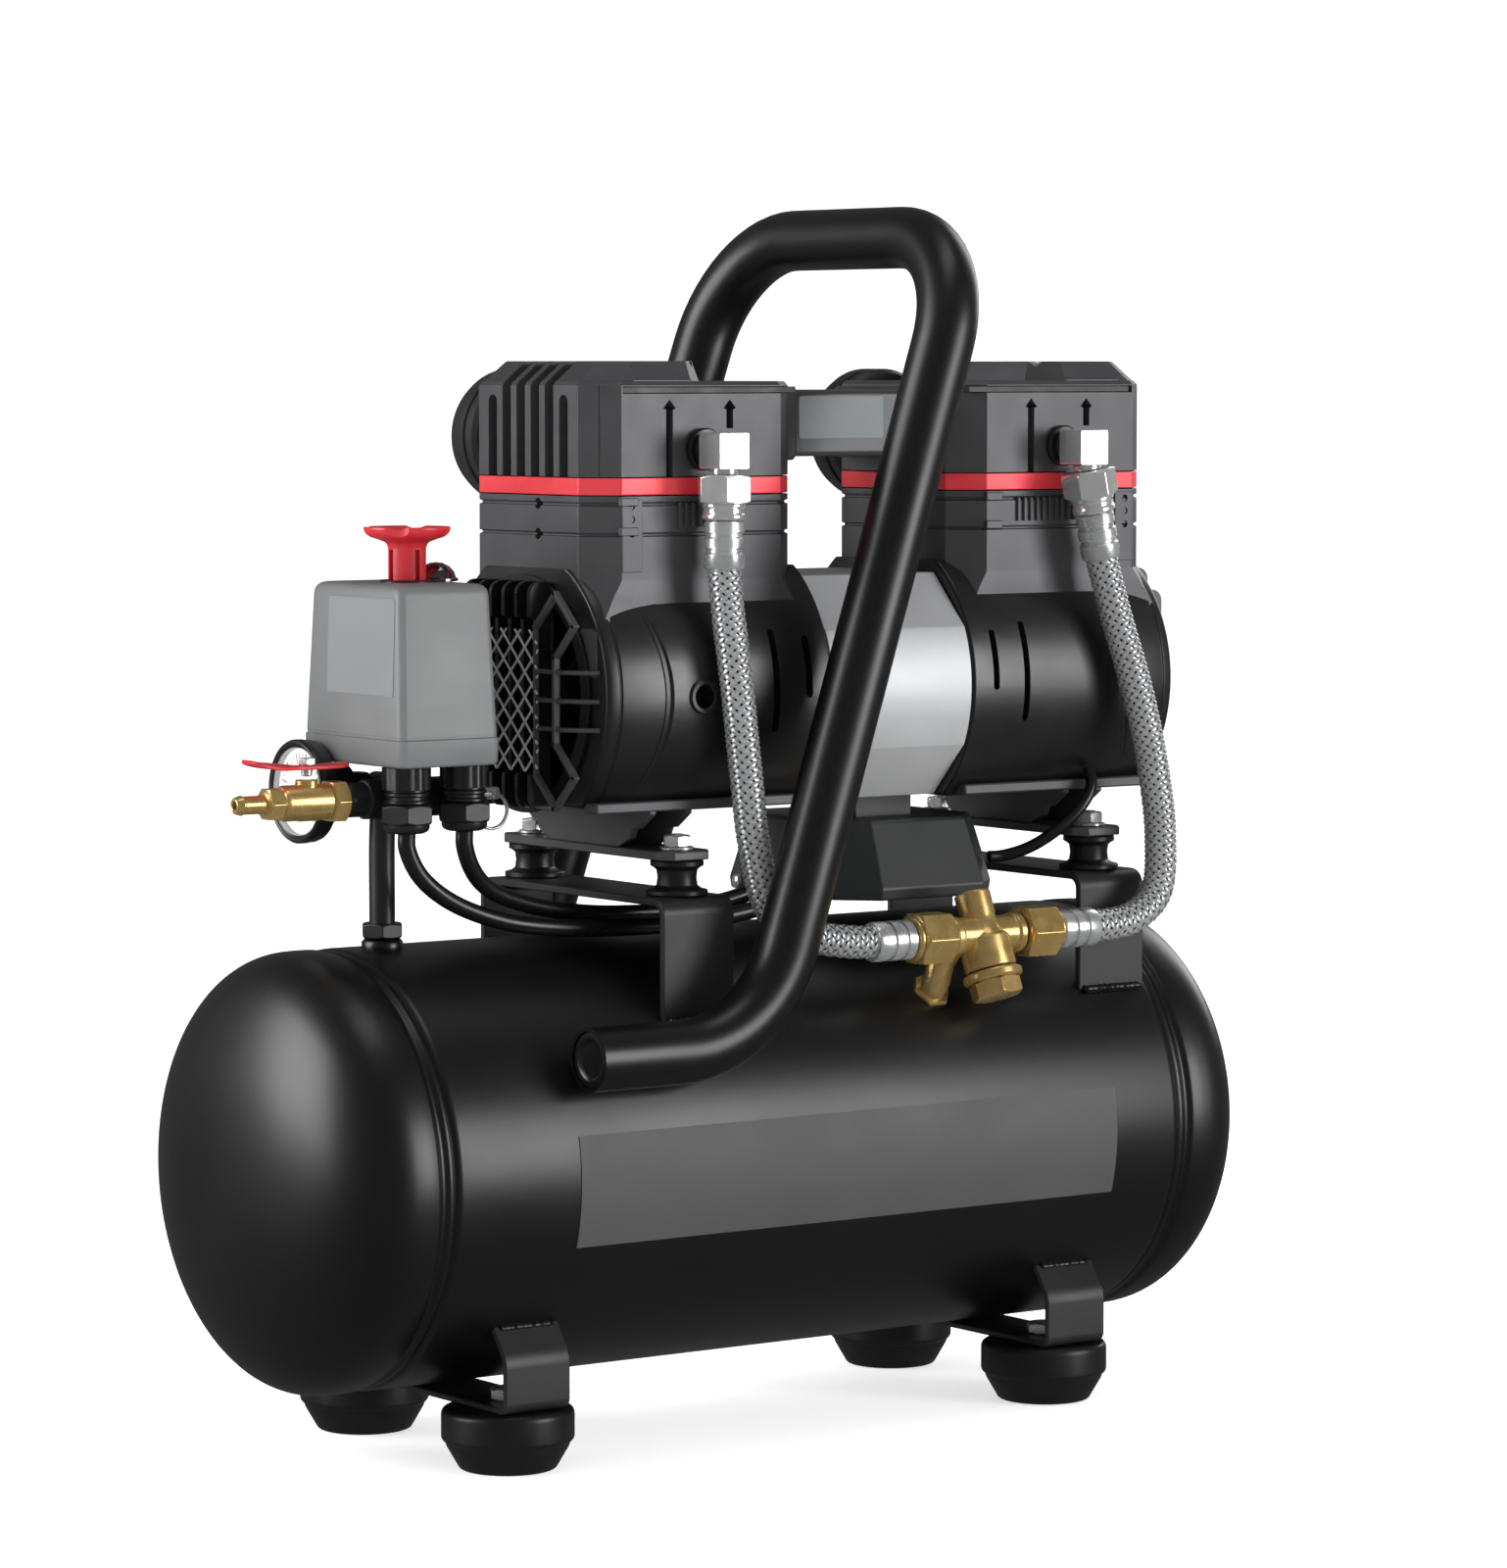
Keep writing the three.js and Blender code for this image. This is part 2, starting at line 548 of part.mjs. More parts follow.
function tapBody() {
  const { y, z } = PORT;
  const at = (radius, from, to, sides = 10) => rodX(radius, from, to, y, z, sides);
  const barb = rod(2.6, [TAP.tip, y, z], [TAP.tip + 5, y, z], 12, 4.2);
  const shank = at(3.4, TAP.tip + 4, -206);
  const collar = at(6.2, -207, -200, 6);
  const body = at(7.2, -201, -180, 8);
  const tail = at(8, -181, TAP.end, 6);
  const tower = rodZ(4.5, z, z + 9.5, TAP.stemX, y, 12);
  return join(barb, shank, collar, body, tail, tower);
}

function tapLever() {
  const { y, z } = PORT;
  const blade = prism(
    "Z",
    [[-26, -6], [-20, -7], [-6, -3.5], [8, -4.5], [17.5, -5], [17.5, 5], [8, 4.5], [-6, 3.5],
      [-20, 7], [-26, 6]].map(([dx, dy]) => [TAP.stemX + dx, y + dy]),
    [z + 12.5, z + 14.3],
  );
  const stem = rodZ(2.2, z + 9.8, z + 13, TAP.stemX, y, 8);
  return join(blade, stem, rodZ(3.6, z + 14, z + 17.2, TAP.stemX, y, 6));
}

// The safety valve's pull stem is cross-drilled for its split ring.
function safetyValve() {
  const { y, z } = PORT;
  const start = RING.x - 22 + GAP;
  const hexagon = rodX(7.5, start, start + 6, y, z, 6);
  const body = rodX(6, start + 5, RING.x - 9, y, z, 12);
  const stem = rodX(2.6, RING.x - 10, RING.x + 3, y, z, 12);
  return cut(join(hexagon, body, stem), rodY(1.7, y - 5, y + 5, RING.x, z, 12));
}

function safetyRing() {
  const geometry = new THREE.TorusGeometry(RING.radius, RING.wire, 6, 22);
  geometry.applyMatrix4(LAYS.X);
  return solid(geometry).translate(RING.x, PORT.y, PORT.z - RING.radius);
}

// A tapered box between two rectangles, as a cone with four sides would be.
function taperedBox([x, y, z0], [halfX, halfY], z1, [topX, topY], shift = 0) {
  const geometry = new THREE.BoxGeometry(2, 2, 2);
  const position = geometry.attributes.position;
  for (let i = 0; i < position.count; i++) {
    const high = position.getZ(i) > 0;
    const [across, along] = high ? [topX, topY] : [halfX, halfY];
    const place = [position.getX(i) * across, position.getY(i) * along, high ? z1 : z0];
    position.setXYZ(i, x + place[0] + (high ? shift : 0), y + place[1], place[2]);
  }
  return solid(geometry);
}

function switchBase() {
  const { x, halfX, halfY, baseZ, splitZ } = SWITCH;
  const tray = taperedBox([x, 0, baseZ], [halfX, halfY], splitZ, [halfX - 0.3, halfY - 0.5]);
  const recess = box([x - 19, x + 19], [-29, 29], [baseZ + 3, splitZ + 1]);
  const glands = glandPlaces().map((place) =>
    join(
      rodZ(GLAND.radius, GLAND.lowZ + 7, baseZ + 1, place, GLAND.y, 16),
      rodZ(11, GLAND.lowZ, GLAND.lowZ + 11, place, GLAND.y, 6),
      rodZ(9.5, baseZ - 6, baseZ + 0.5, place, GLAND.y, 16),
    ),
  );
  const bores = glandPlaces().map((place) => rodZ(3.8, GLAND.lowZ - 1, baseZ + 5, place, GLAND.y, 10));
  return cut(join(cut(tray, recess), ...glands), ...bores);
}

function glandPlaces() {
  return [SWITCH.x - 11.5, SWITCH.x + 14.5];
}

function switchCover() {
  const { x, halfX, halfY, splitZ, topZ } = SWITCH;
  const low = splitZ + GAP;
  const wall = 2.5;
  const outer = taperedBox([x, 0, low], [halfX - 0.3, halfY - 0.5], topZ, COVER_TOP);
  const roof = COVER_TOP.map((half) => half - wall);
  const inner = taperedBox([x, 0, low - 1], [halfX - 2.8, halfY - 3], topZ - wall, roof);
  const bolt = rod(8, [KNOB_X + 12, 0, topZ - 1], [KNOB_X + 12, 0, topZ + 7], 12, 4.5);
  return cut(join(cut(outer, inner), bolt), rodZ(7.8, topZ - 5, topZ + 10, KNOB_X - 1, 0, 16));
}

function switchKnob() {
  const [low, top] = [328, 358];
  const stem = [[0, low], [7.4, low], [7.4, 350.5]];
  const dish = [[13.4, 353], [17, 355.4], [17, top], [15.8, top], [12.5, 355.8], [0, 355]];
  return turned([...stem, ...dish], 24).translate(KNOB_X - 1, 0, 0);
}

function lead(points) {
  return tube(3.4, points, 18, 8);
}

const LEAD_POINTS = {
  a: [[-155.5, -22, 241.6], [-155.3, -22, 236], [-150, -22.5, 225.5], [-138, -24, 215.5], [-117, -26, 207],
    [-90, -26.5, 202.6], [-60, -26.5, 201], [-30, -26.5, 201.2], [0, -26.5, 204], [22, -26, 209.5],
    [35, -26, 213]],
  b: [[-129.5, -22, 241.6], [-129.3, -21.8, 236], [-125, -20.5, 226.5], [-116, -18, 218.4], [-96, -15, 211],
    [-71, -13.5, 206.4], [-50, -13, 204.8], [-25, -13, 204.8], [0, -13, 207.5], [20, -13, 212.5],
    [35, -13, 216]],
};

// The capacitor's cover hangs under the motor and widens downwards.
function capacitorBox() {
  const outline = (halfX, halfY) => chamferedRectangle(75, halfX, halfY, 14);
  const low = prism("Z", outline(39.4, 50), [207, 213]);
  const middle = prism("Z", outline(38.6, 45), [212.5, 226]);
  const top = prism("Z", outline(37.4, 39), [225.5, 238.5]);
  const neck = box([58, 86], [-20, 20], [238, MOTOR.z - MOTOR.height + 0.6 - GAP]);
  const leadHoles = [[-26, 213], [-13, 216]].map(([y, z]) => rodX(4, 30, 42, y, z, 12));
  return cut(join(low, middle, top, neck), ...leadHoles, rodX(3.2, 108, 120, -38, 221, 12));
}

const CAPACITOR_LEAD = [[153, -51, 256], [152, -54, 249], [146, -54.5, 240.5], [137, -51.5, 232],
  [127, -45, 224.5], [117.5, -39.5, 221.2], [112, -38, 221]];

// ---------------------------------------------------------------- assembly
const FINISHES = {
  enamel: { color: 0x0d0d0e, roughness: 0.32, metalness: 0.1 },
  cast: { color: 0x2a2b2d, roughness: 0.45, metalness: 0.4 },
  plate: { color: 0x3a3b3c, roughness: 0.5, metalness: 0.3 },
  rubber: { color: 0x0e0e0f, roughness: 0.75, metalness: 0 },
  aluminium: { color: 0xcfd0d2, roughness: 0.3, metalness: 1 },
  steel: { color: 0x8d8f92, roughness: 0.35, metalness: 1 },
  chrome: { color: 0xe6e8ea, roughness: 0.12, metalness: 1 },
  braid: { color: 0xb4b6b8, roughness: 0.4, metalness: 1 },
  brass: { color: 0xb98a3c, roughness: 0.25, metalness: 1 },
  plastic: { color: 0x1c1d1e, roughness: 0.5, metalness: 0 },
  cover: { color: 0x4b4c4e, roughness: 0.4, metalness: 0 },
  red: { color: 0xb3222c, roughness: 0.4, metalness: 0 },
  pvc: { color: 0x101011, roughness: 0.45, metalness: 0 },
};

const compressor = new THREE.Group();

function add(name, shape, finish, parent = compressor) {
  const mesh = new THREE.Mesh(geometryOf(shape), new THREE.MeshStandardMaterial(FINISHES[finish]));
  mesh.name = name;
  parent.add(mesh);
}

function addFrame() {
  add("tank", tankShell(), "enamel");
  add("handle", handle(), "enamel");
  add("drain_valve", drainValve(), "brass");
  add("drain_screw", drainScrew(), "brass");
  for (const [side, sign] of Object.entries(SIDES)) {
    add(`foot_bracket_${side}`, footBracket(sign * FOOT.x), "plate");
    add(`motor_bridge_${side}`, motorBridge(mountPlace(sign)), "plate");
    for (const [end, back] of [["near", -1], ["far", 1]]) {
      add(`rubber_foot_${side}_${end}`, rubberFoot(sign * FOOT.x, back * FOOT.y), "rubber");
      add(`rubber_mount_${side}_${end}`, rubberMount(mountPlace(sign), back * MOUNT.y), "rubber");
    }
  }
}

function addMotor() {
  add("stator", stator(), "aluminium");
  add("rotor", rotor(), "steel");
  add("crankshaft", crankshaft(), "steel");
  add("crossover_duct", crossoverDuct(), "cast");
  for (const [side, sign] of Object.entries(SIDES)) {
    add(`crankcase_${side}`, crankcase(sign), "cast");
    add(`end_cover_${side}`, endCover(sign), "plastic");
    add(`fan_${side}`, fan(sign), "plastic");
    add(`cylinder_sleeve_${side}`, sleeve(sign), "aluminium");
    add(`piston_${side}`, piston(sign), "aluminium");
    add(`head_gasket_${side}`, gasket(sign), "red");
    add(`cylinder_head_${side}`, cylinderHead(sign), "cast");
    add(`silencer_${side}`, silencer(sign), "plastic");
  }
}

function addDelivery() {
  for (const [side, sign] of Object.entries(SIDES)) {
    const nut = swivelNut(dropPoint(sign, ELBOW.nutTop), dropPoint(sign, ELBOW.nutEnd));
    add(`elbow_${side}`, elbow(sign), "chrome");
    add(`hose_nut_top_${side}`, nut, "chrome");
    add(`hose_nut_bottom_${side}`, hoseNutBottom(sign), "brass");
    add(`hose_${side}`, hose(dropEnd(sign), valveEnd(sign), HOSE_POINTS[side]), "braid");
  }
  add("check_valve_body", checkValveBody(), "brass");
  add("check_valve_cap", checkValveCap(), "brass");
}

function addControls() {
  add("riser_manifold", riserManifold(), "plate");
  add("switch_base", switchBase(), "cover");
  add("switch_cover", switchCover(), "cover");
  add("switch_knob", switchKnob(), "red");
  add("switch_lead_a", lead(LEAD_POINTS.a), "pvc");
  add("switch_lead_b", lead(LEAD_POINTS.b), "pvc");
  add("tap_body", tapBody(), "brass");
  add("tap_lever", tapLever(), "red");
  add("gauge_case", gaugeCase(), "chrome");
  add("gauge_needle", gaugeNeedle(), "red");
  add("safety_valve", safetyValve(), "chrome");
  add("safety_ring", safetyRing(), "steel");
  add("capacitor_box", capacitorBox(), "cover");
  add("capacitor_lead", tube(2.4, CAPACITOR_LEAD, 14, 8), "pvc");
}

addFrame();
addMotor();
addDelivery();
addControls();

export default compressor;
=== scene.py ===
# %% [markdown]
# # A portable twin-cylinder air compressor
# The machine is a nine litre steel tank on four rubber feet. Two oil-free piston units share
# one motor above it, and each pumps through a braided hose into a brass check valve. A
# pressure switch, a gauge, a safety valve and an outlet tap sit over the tank's left end.
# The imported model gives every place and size, so each cell below only makes one piece, or
# one finish, look like the real thing.

# %% Load the frame
import json
import math
import random

import bmesh
import bpy
from mathutils import Matrix, Vector


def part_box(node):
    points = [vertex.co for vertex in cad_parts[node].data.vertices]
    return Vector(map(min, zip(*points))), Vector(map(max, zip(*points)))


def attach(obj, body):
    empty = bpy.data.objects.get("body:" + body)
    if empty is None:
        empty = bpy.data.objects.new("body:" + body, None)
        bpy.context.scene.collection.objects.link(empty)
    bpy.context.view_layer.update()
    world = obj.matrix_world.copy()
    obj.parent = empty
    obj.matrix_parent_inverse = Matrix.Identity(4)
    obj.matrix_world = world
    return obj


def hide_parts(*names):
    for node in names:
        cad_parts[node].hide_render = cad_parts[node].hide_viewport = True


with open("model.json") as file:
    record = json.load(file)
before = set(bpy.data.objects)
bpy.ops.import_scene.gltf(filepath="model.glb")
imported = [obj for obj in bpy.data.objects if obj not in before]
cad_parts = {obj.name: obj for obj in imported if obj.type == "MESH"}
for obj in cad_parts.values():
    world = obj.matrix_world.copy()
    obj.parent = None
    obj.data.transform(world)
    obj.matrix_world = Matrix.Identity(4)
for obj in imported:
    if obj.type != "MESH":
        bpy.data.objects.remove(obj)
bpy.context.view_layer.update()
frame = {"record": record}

joints = {joint["name"]: joint for joint in frame["record"]["behaviour"]["joints"]}

# %% [markdown]
# ## Measuring the model
# Shapes are worked out in millimetres, because that is how a maker measures such parts, and
# are scaled to metres once, when a mesh is made. `span` reads a node's box, so a piece built
# from it lands where the solid is.

# %% Millimetres and node boxes
MM = 0.001
X, Y, Z = Vector((1, 0, 0)), Vector((0, 1, 0)), Vector((0, 0, 1))


def span(node):
    """Lowest corner, highest corner and middle of a node at rest, in millimetres."""
    low, high = (Vector(corner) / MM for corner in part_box(node))
    return low, high, (low + high) / 2


def joint_place(name):
    """Where a hinge is, in millimetres."""
    return Vector(joints[name]["pos_m"]) / MM


tank_low, tank_high, _ = span("tank")
TANK_R = tank_high.y
TANK_Z = tank_low.z + TANK_R
print("tank radius", round(TANK_R, 1), "axis height", round(TANK_Z, 1))

# %% [markdown]
# ## The camera
# A long lens from about two and a third metres keeps the tank's edges almost parallel, as a
# catalogue picture does. The camera stands to the left of the hose side and a little above
# the middle of the machine, and looks slightly down.

# %% Camera
AZIMUTH, ELEVATION = math.radians(-35.47), math.radians(4.13)
DISTANCE = 2.311  # metres from the target
TARGET = Vector((0.022, 0.0, 0.252))


def toward(azimuth, elevation):
    """Unit vector from the target out to a viewpoint; azimuth 0 is the hose side, -Y."""
    level = math.cos(elevation)
    return Vector(
        (math.sin(azimuth) * level, -math.cos(azimuth) * level, math.sin(elevation))
    )


def aimed(obj, azimuth, elevation, distance):
    """Stand an object off from the target and point its -Z axis at it."""
    back = toward(azimuth, elevation)
    obj.location = TARGET + back * distance
    obj.rotation_mode = "QUATERNION"
    obj.rotation_quaternion = (-back).to_track_quat("-Z", "Y")
    bpy.context.scene.collection.objects.link(obj)
    return obj


lens = bpy.data.cameras.new("long_lens")
lens.sensor_width = 36
lens.lens = 132.4
lens.clip_start, lens.clip_end = 0.05, 60
camera = aimed(bpy.data.objects.new("camera", lens), AZIMUTH, ELEVATION, DISTANCE)
bpy.context.scene.camera = camera
print("camera at", [round(v, 3) for v in camera.location])

# %% [markdown]
# ## Colours
# A paint chip or a product drawing gives a colour as an sRGB hex value. Light adds up in
# linear values, so one function turns each hex value into what the shader expects.

# %% sRGB hex to linear


def linear(code):
    """An sRGB hex colour, such as "#b3222c", as linear RGBA."""
    channels = [int(code[i : i + 2], 16) / 255 for i in (1, 3, 5)]
    return (*[c / 12.92 if c <= 0.04045 else ((c + 0.055) / 1.055) ** 2.4 for c in channels], 1)


print("mid grey is", round(linear("#808080")[0], 3), "in linear light")

# %% [markdown]
# ## Floor and light
# Catalogue pictures of black gloss goods are taken in a white sweep with a few large
# softboxes, and black cards stand where the gloss would mirror the white sweep. The sweep
# here is a shallow bowl wide enough to hold the camera at every angle. Its material shows
# bounced rays a darker tone than the one the eye sees, which does the black cards' job.

# %% A node helper


def add_node(tree, kind, settings=(), links=()):
    """Add a node, set its fields or sockets by name or number, and link sockets into it."""
    node = tree.nodes.new(kind)
    for key, value in dict(settings).items():
        if isinstance(key, str) and hasattr(node, key):
            setattr(node, key, value)
        else:
            node.inputs[key].default_value = value
    for key, socket in dict(links).items():
        tree.links.new(socket, node.inputs[key])
    return node


# %% The white sweep
SWEEP = {"flat": 6.0, "bend": 3.0, "segments": 96}
CARD_TONE = 0.12  # what a mirror-like ray meets instead of the white sweep


def sweep_mesh():
    """A round floor that curves up into a wall, as one smooth skin."""
    profile = [(0.0, 0.0), (SWEEP["flat"], 0.0)]
    for step in range(1, 13):
        turn = math.radians(90) * step / 12
        rise = SWEEP["bend"] * (1 - math.cos(turn))
        profile.append((SWEEP["flat"] + SWEEP["bend"] * math.sin(turn), rise))
    verts, faces = [(0, 0, 0)], []
    count = SWEEP["segments"]
    for radius, height in profile[1:]:
        for i in range(count):
            angle = math.tau * i / count
            verts.append((radius * math.cos(angle), radius * math.sin(angle), height))
    for i in range(count):
        faces.append((0, 1 + i, 1 + (i + 1) % count))
        for ring in range(len(profile) - 2):
            a, b = 1 + ring * count, 1 + (ring + 1) * count
            j = (i + 1) % count
            faces.append((a + i, b + i, b + j, a + j))
    mesh = bpy.data.meshes.new("sweep")
    mesh.from_pydata(verts, [], faces)
    mesh.polygons.foreach_set("use_smooth", [True] * len(mesh.polygons))
    return mesh


paper = bpy.data.materials.new("matt white paper sweep")
paper.use_nodes = True
tree = paper.node_tree
rays = add_node(tree, "ShaderNodeLightPath")
fibre = add_node(tree, "ShaderNodeTexNoise", {"Scale": 40.0, "Detail": 3.0})
tone = add_node(
    tree,
    "ShaderNodeMix",
    {"data_type": "RGBA", 6: linear("#f4f4f3"), 7: linear("#f8f8f8")},
    {0: fibre.outputs[0]},
)
white = tree.nodes["Principled BSDF"]
white.inputs["Roughness"].default_value = 0.9
white.inputs["Emission Color"].default_value = (1, 1, 1, 1)
white.inputs["Emission Strength"].default_value = 0.6
tree.links.new(tone.outputs[2], white.inputs["Base Color"])
card = add_node(tree, "ShaderNodeEmission", {"Color": (1, 1, 1, 1), "Strength": CARD_TONE})
choice = add_node(
    tree,
    "ShaderNodeMixShader",
    {},
    {0: rays.outputs["Is Glossy Ray"], 1: white.outputs[0], 2: card.outputs[0]},
)
tree.links.new(choice.outputs[0], tree.nodes["Material Output"].inputs["Surface"])

floor = bpy.data.objects.new("floor", sweep_mesh())
floor.data.materials.append(paper)
bpy.context.scene.collection.objects.link(floor)
print("floor: a bowl", 2 * (SWEEP["flat"] + SWEEP["bend"]), "m across")

# %% [markdown]
# The sky above the sweep fills the shadows. The softboxes are sized by how bright they look,
# since that is what shows as a highlight: the power follows from brightness and area. They
# are hidden from the camera, so they never show in another view.

# %% Softboxes and sky
SKY = {"seen": 1.0, "mirrored": 0.12, "fill": 0.5}
SOFTBOXES = [
    # name, azimuth, elevation, distance, width, height, brightness
    ("left", -113, 18, 2.5, 1.5, 1.7, 6.5),
    ("front_right", 30, 7, 2.6, 1.05, 1.3, 8.0),
    ("overhead", 10, 80, 2.4, 1.4, 0.8, 1.8),
    ("back_right", 112, 22, 2.6, 0.9, 1.6, 3.0),
]


def softbox(name, azimuth, elevation, distance, width, height, brightness):
    light = bpy.data.lights.new(name, "AREA")
    light.shape = "RECTANGLE"
    light.size, light.size_y = width, height
    light.energy = brightness * math.pi * width * height
    box = bpy.data.objects.new(name, light)
    aimed(box, math.radians(azimuth), math.radians(elevation), distance)
    box.visible_camera = False
    return box


for row in SOFTBOXES:
    softbox(*row)

world = bpy.data.worlds.new("sky")
world.use_nodes = True
bpy.context.scene.world = world
tree = world.node_tree
rays = add_node(tree, "ShaderNodeLightPath")
dim = add_node(
    tree,
    "ShaderNodeMix",
    {2: SKY["fill"], 3: SKY["mirrored"]},
    {0: rays.outputs["Is Glossy Ray"]},
)
level = add_node(
    tree, "ShaderNodeMix", {3: SKY["seen"]}, {0: rays.outputs["Is Camera Ray"], 2: dim.outputs[0]}
)
tree.links.new(level.outputs[0], tree.nodes["Background"].inputs["Strength"])
tree.nodes["Background"].inputs["Color"].default_value = (1, 1, 1, 1)
bpy.context.scene.view_settings.view_transform = "Standard"
print(len(SOFTBOXES), "softboxes")

# %% [markdown]
# ## How the pieces are made
# Almost every part of this machine is turned, cast with straight sides, bent from sheet or
# drawn as a tube. Four helpers cover those: `turned` spins a profile, `stacked` joins
# outlines at different heights (a `prism` is the simplest case), and `carried` takes a
# section along a path. A shape is a list of corners and a list of faces, still in
# millimetres, so shapes can be joined before they become one mesh.

# %% Placing things on an axis


def axis_x(y=0.0, z=0.0):
    """Local x, y, z become the machine's y, z, x."""
    return Matrix(((0, 0, 1, 0), (1, 0, 0, y), (0, 1, 0, z), (0, 0, 0, 1)))


def axis_y(x=0.0, z=0.0):
    """Local x, y, z become the machine's x, z, y."""
    return Matrix(((1, 0, 0, x), (0, 0, 1, 0), (0, 1, 0, z), (0, 0, 0, 1)))


def axis_z(x=0.0, y=0.0):
    return Matrix.Translation((x, y, 0))


def aim(start, end):
    """Local z runs from one point towards another."""
    start, end = Vector(start), Vector(end)
    return Matrix.Translation(start) @ (end - start).to_track_quat("Z", "Y").to_matrix().to_4x4()


def merged(*shapes):
    """Several shapes as one list of corners and faces."""
    verts, faces = [], []
    for more, joins in shapes:
        faces += [[i + len(verts) for i in face] for face in joins]
        verts += more
    return verts, faces


# %% Turned and stacked shapes


def skin(rings, closed=False):
    """Faces between rings of corners; a ring with one corner is the tip of a cone."""
    verts, starts = [], []
    for ring in rings:
        starts.append(len(verts))
        verts += ring
    faces = []
    pairs = list(zip(range(len(rings)), range(1, len(rings))))
    if closed:
        pairs.append((len(rings) - 1, 0))
    for a, b in pairs:
        near, far = len(rings[a]), len(rings[b])
        for i in range(max(near, far)):
            j = i + 1
            quad = [starts[a] + i % near, starts[a] + j % near, starts[b] + j % far, starts[b] + i % far]
            faces.append(list(dict.fromkeys(quad)))
    return verts, faces


def turned(profile, place=Matrix(), sides=48):
    """Spin (radius, height) points; a profile that doesn't end on the axis is a ring."""
    rings = []
    for radius, height in profile:
        count = 1 if radius < 1e-6 else sides
        turns = [math.tau * i / sides for i in range(count)]
        rings.append([place @ Vector((radius * math.cos(t), radius * math.sin(t), height)) for t in turns])
    return skin(rings, closed=len(rings[0]) > 1)


def stacked(sections, place=Matrix()):
    """Join (height, outline) sections that have equal numbers of corners, and cap the ends."""
    rings = [[place @ Vector((x, y, height)) for x, y in outline] for height, outline in sections]
    verts, faces = skin(rings)
    count = len(rings[0])
    return verts, [*faces, list(range(count)), list(range(len(verts) - count, len(verts)))]


def prism(outline, low, high, place=Matrix()):
    return stacked([(low, outline), (high, outline)], place)


def block(low, high):
    """A box from its lowest to its highest corner."""
    (x0, y0, z0), (x1, y1, z1) = low, high
    return prism([(x0, y0), (x1, y0), (x1, y1), (x0, y1)], z0, z1)


def rod(radius, start, end, sides=32, lip=0.0):
    """A round bar between two points, with its end corners eased by a lip."""
    length = (Vector(end) - Vector(start)).length
    profile = [(0, 0), (radius - lip, 0), (radius, lip), (radius, length - lip)]
    return turned([*profile, (radius - lip, length), (0, length)], aim(start, end), sides)


def hex_bar(flats, low, high, place=Matrix(), bore=0.0, crown=True):
    """A hexagon bar or nut. The corners are turned off at 30 degrees, as on a real nut."""
    steps, half = 8, flats / 2
    rings = []
    inset = half * 0.96
    reach = [half / math.cos(math.radians(60 * ((i % steps) / steps) - 30)) for i in range(6 * steps)]
    slope = math.tan(math.radians(30)) if crown else 0.0

    def ring(radii, height, sign=0):
        out = []
        for i, radius in enumerate(radii):
            turn = math.tau * i / (6 * steps)
            rise = sign * (radius - inset) * slope
            out.append(place @ Vector((radius * math.cos(turn), radius * math.sin(turn), height + rise)))
        return out

    flat = [inset] * len(reach)
    rings = [ring(flat, low), ring(reach, low, 1), ring(reach, high, -1), ring(flat, high)]
    if bore:
        rings += [ring([bore] * len(reach), high), ring([bore] * len(reach), low)]
        return skin(rings, closed=True)
    tip = [place @ Vector((0, 0, low))], [place @ Vector((0, 0, high))]
    return skin([tip[0], *rings, tip[1]])


# %% Paths, bends and tubes


def soften(points, reach, steps=4, closed=True):
    """Round the corners of an outline or a path; each arc starts `reach` before its corner."""
    points = [Vector(p) for p in points]
    rounded = []
    for i, corner in enumerate(points):
        if not closed and i in (0, len(points) - 1):
            rounded.append(corner)
            continue
        before = points[i - 1] - corner
        after = points[(i + 1) % len(points)] - corner
        wanted = reach[i] if isinstance(reach, (list, tuple)) else reach
        room = min(wanted, before.length * 0.49, after.length * 0.49)
        if room < 1e-3:
            rounded.append(corner)
            continue
        turn = math.pi - before.angle(after)
        pull = (4 / 3) * math.tan(turn / 4) / math.tan(turn / 2) if turn > 1e-3 else 2 / 3
        start, end = corner + before.normalized() * room, corner + after.normalized() * room
        first, second = start.lerp(corner, pull), end.lerp(corner, pull)
        for step in range(steps + 1):
            t = step / steps
            a, b, c = start.lerp(first, t), first.lerp(second, t), second.lerp(end, t)
            rounded.append(a.lerp(b, t).lerp(b.lerp(c, t), t))
    return rounded


def through(points, steps=8):
    """A smooth path through points: a centripetal Catmull-Rom curve."""
    points = [Vector(p) for p in points]
    ends = [2 * points[0] - points[1], *points, 2 * points[-1] - points[-2]]
    path = []
    for p0, p1, p2, p3 in zip(ends, ends[1:], ends[2:], ends[3:]):
        d1, d2, d3 = [(b - a).length ** 0.5 for a, b in ((p0, p1), (p1, p2), (p2, p3))]
        m1 = ((p1 - p0) / d1 - (p2 - p0) / (d1 + d2) + (p2 - p1) / d2) * d2
        m2 = ((p2 - p1) / d2 - (p3 - p1) / (d2 + d3) + (p3 - p2) / d3) * d2
        for step in range(steps):
            t = step / steps
            h1, h2 = 2 * t**3 - 3 * t**2 + 1, 3 * t**2 - 2 * t**3
            h3, h4 = t**3 - 2 * t**2 + t, t**3 - t**2
            path.append(h1 * p1 + h2 * p2 + h3 * m1 + h4 * m2)
    return [*path, points[-1]]


def path_length(path):
    """How far it is along a path, in the path's own units."""
    return sum((b - a).length for a, b in zip(path, path[1:]))


def framed(path):
    """Each point of a path with two crossways vectors that turn as little as possible."""
    frames, across = [], None
    for i, point in enumerate(path):
        along = (path[min(i + 1, len(path) - 1)] - path[max(i - 1, 0)]).normalized()
        if across is None:
            across = along.orthogonal()
        across = (across - along * across.dot(along)).normalized()
        frames.append((point, across, along.cross(across)))
    return frames


